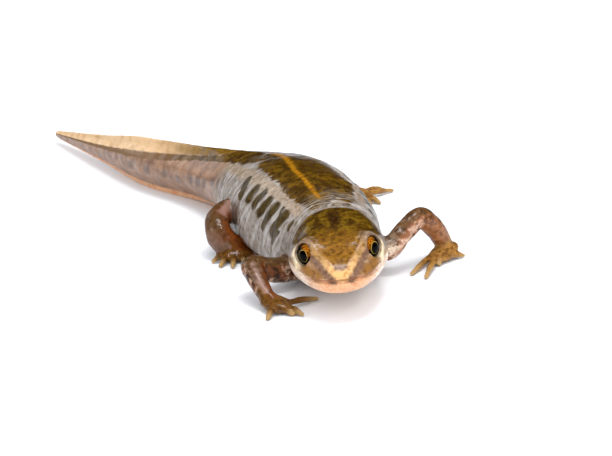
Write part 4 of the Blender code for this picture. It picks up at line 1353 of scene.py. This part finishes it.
def eye_look(tree):
    """Iris, pupil and rings by the angle from the line of sight, under a wet coat."""
    angle, above, beside = (mask(tree, name) for name in ("angle", "above", "beside"))
    turn = times(tree, maths(tree, "ARCTAN2", above, beside), 1.5)
    spokes = node(tree, "CombineXYZ", {"X": turn, "Y": times(tree, angle, 0.16)}).outputs[0]
    fibre = node(tree, "TexNoise", {"Vector": spokes, "Scale": 1.6, "Detail": 4.0}).outputs["Fac"]
    glow = maths(tree, "ADD", times(tree, above, 0.8), times(tree, beside, 0.7))
    glow = maths(tree, "ADD", glow, swing(tree, fibre, 0.5, 0.35))
    gold = mix(tree, ramp(tree, fibre, 0.40, 0.62), (74, 26, 4), (204, 124, 24))
    iris = mix(tree, ramp(tree, glow, 0.20, 0.70), (12, 8, 6), gold)
    ragged = maths(tree, "ADD", angle, swing(tree, fibre, 0.5, 3.0))
    off_ring = maths(tree, "ABSOLUTE", maths(tree, "SUBTRACT", ragged, RING_ANGLE))
    iris = mix(tree, ramp(tree, off_ring, 0.4, 1.5, 0.9, 0.0), iris, (176, 150, 70))
    iris = mix(tree, ramp(tree, ragged, *RIM_EDGE), iris, (22, 15, 12))
    pupil = ramp(tree, angle, *PUPIL_EDGE, 1.0, 0.0)
    return {
        "Base Color": mix(tree, pupil, iris, (3, 3, 4)),
        "Roughness": 0.35,
        "Coat Weight": 0.3,
        "Coat Roughness": 0.04,
        "Coat IOR": 1.25,
        "Specular IOR Level": 0.0,
    }


eye_finish = material("newt_eye", eye_look)
for label, hand in (("eye_left", LEFT), ("eye_right", RIGHT)):
    eye_piece = eye_object("newt_" + label, hand)
    eye_piece.data.materials.append(eye_finish)
    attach(eye_piece, "root")
    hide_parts(label)
print("eye angle out:", round(math.degrees(GAZE_OUT)))

# %% [markdown]
# ## Table and light
# The newt stands on a plain pale table that is lost in white. Two broad soft lights, one above and
# one in front, open the shapes but are left out of the reflections, because on wet skin they
# would lie as a grey veil. Six small lights show as the glints instead. A pale room fills the
# rest, so that the shadows stay soft.

# %% Table and light
TABLE_REACH = 3.0
# Place, side of the square in millimetres, power in watts, colour
LIGHTS = {
    "overhead": ((0.0, 60.0, 420.0), 800.0, 1.05, (1.0, 0.985, 0.96)),
    "fill": ((-70.0, -350.0, 160.0), 430.0, 0.80, (1.0, 0.975, 0.955)),
    "glint_behind": ((-90.0, 240.0, 120.0), 120.0, 0.07, (1.0, 1.0, 1.0)),
    "glint_side": ((-240.0, 110.0, 170.0), 50.0, 0.06, (0.95, 0.98, 1.0)),
    "glint_above": ((36.0, -52.0, 273.0), 56.0, 0.20, (1.0, 0.97, 0.97)),
    "glint_top": ((-10.0, -7.0, 280.0), 50.0, 0.12, (1.0, 0.97, 0.97)),
    "glint_front": ((75.0, -180.0, 205.0), 44.0, 0.06, (1.0, 1.0, 1.0)),
    "glint_low": ((-136.0, -238.0, 34.0), 60.0, 0.05, (1.0, 0.96, 0.98)),
}
BROAD = ("overhead", "fill")


def table_look(tree):
    """Nearly white, with broad faint clouds."""
    white = mix(tree, object_noise(tree, 40.0), (0.86, 0.87, 0.90, 1.0), (0.90, 0.91, 0.93, 1.0))
    return {"Base Color": white, "Roughness": 0.6}


def table():
    """A wide pale plane at floor level."""
    corners = [(x * TABLE_REACH, y * TABLE_REACH, 0.0) for x, y in ((-1, -1), (1, -1), (1, 1), (-1, 1))]
    made = mesh_object("table", corners, [(0, 1, 2, 3)])
    made.data.materials.append(material("table", table_look))
    made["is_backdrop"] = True


def soft_light(name, where, size, power, colour, shows):
    """Square area light that looks at the middle of the newt. Places are in millimetres.

    A light that doesn't show is left out of the reflections.
    """
    lamp = bpy.data.lights.new(name, "AREA")
    lamp.shape = "SQUARE"
    lamp.size = size * MM
    lamp.energy = power
    lamp.color = colour
    made = bpy.data.objects.new(name, lamp)
    bpy.context.scene.collection.objects.link(made)
    ahead = np.array((0.0, 0.0, 4.0)) - np.array(where)
    ahead /= np.linalg.norm(ahead)
    side, up = axes_round(ahead)
    columns = np.column_stack((side, up, -ahead))
    made.matrix_world = Matrix.Translation(np.array(where) * MM) @ Matrix(columns.tolist()).to_4x4()
    made.visible_glossy = shows


table()
for name, light in LIGHTS.items():
    soft_light(name, *light, shows=name not in BROAD)
world = bpy.data.worlds.new("room")
world.use_nodes = True
world.node_tree.nodes["Background"].inputs["Color"].default_value = (0.86, 0.93, 1.0, 1.0)
world.node_tree.nodes["Background"].inputs["Strength"].default_value = 0.82
world.cycles_visibility.glossy = False
bpy.context.scene.world = world
bpy.context.scene.view_settings.view_transform = "Standard"
print("lights:", len(BROAD), "broad,", len(LIGHTS) - len(BROAD), "that show as glints")

# %% [markdown]
# ## Camera
# The picture was taken from a low stand in front of the newt with a long lens. The camera is placed
# by the photograph: one pixel of it looks at a point on the snout, and the fall, the tilt and the
# distance do the rest.

# %% Camera
FALL, TILT = math.radians(18.0), math.radians(4.0)
DISTANCE = 200.0
PIXELS_PER_MM = 12.1
PICTURE = (612, 456)
SNOUT_PIXEL, SNOUT_HEIGHT = (341, 276), 4.2
SENSOR = 36.0


def camera():
    """Camera whose ray through the snout's pixel meets the snout at the given distance."""
    focus = PIXELS_PER_MM * DISTANCE
    ahead = np.array([0.0, math.cos(FALL), -math.sin(FALL)])
    level_side = np.array([1.0, 0.0, 0.0])
    level_up = np.cross(level_side, ahead)
    side = math.cos(TILT) * level_side - math.sin(TILT) * level_up
    up = math.sin(TILT) * level_side + math.cos(TILT) * level_up
    across = (SNOUT_PIXEL[0] - PICTURE[0] / 2) / focus
    down = (SNOUT_PIXEL[1] - PICTURE[1] / 2) / focus
    where = np.array([0.0, 0.0, SNOUT_HEIGHT]) - DISTANCE * (ahead + across * side - down * up)
    axes = np.stack([place(v) - place(np.zeros(3)) for v in (side, up, -ahead)], axis=1) / MM
    lens = bpy.data.cameras.new("camera")
    lens.sensor_width = SENSOR
    lens.lens = focus * SENSOR / PICTURE[0]
    lens.clip_start = 0.001
    made = bpy.data.objects.new("camera", lens)
    bpy.context.scene.collection.objects.link(made)
    made.matrix_world = Matrix.Translation(place(where)) @ Matrix(axes.tolist()).to_4x4()
    bpy.context.scene.camera = made
    return lens


print("lens in mm:", round(camera().lens, 1))

# %% Sizes and the end
visual_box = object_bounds()
sizes = {"cad": [list(corner) for corner in cad_box], "visual": [list(corner) for corner in visual_box]}
for label, box in sizes.items():
    print(label, "box in mm:", [[round(value * 1000, 2) for value in corner] for corner in box])
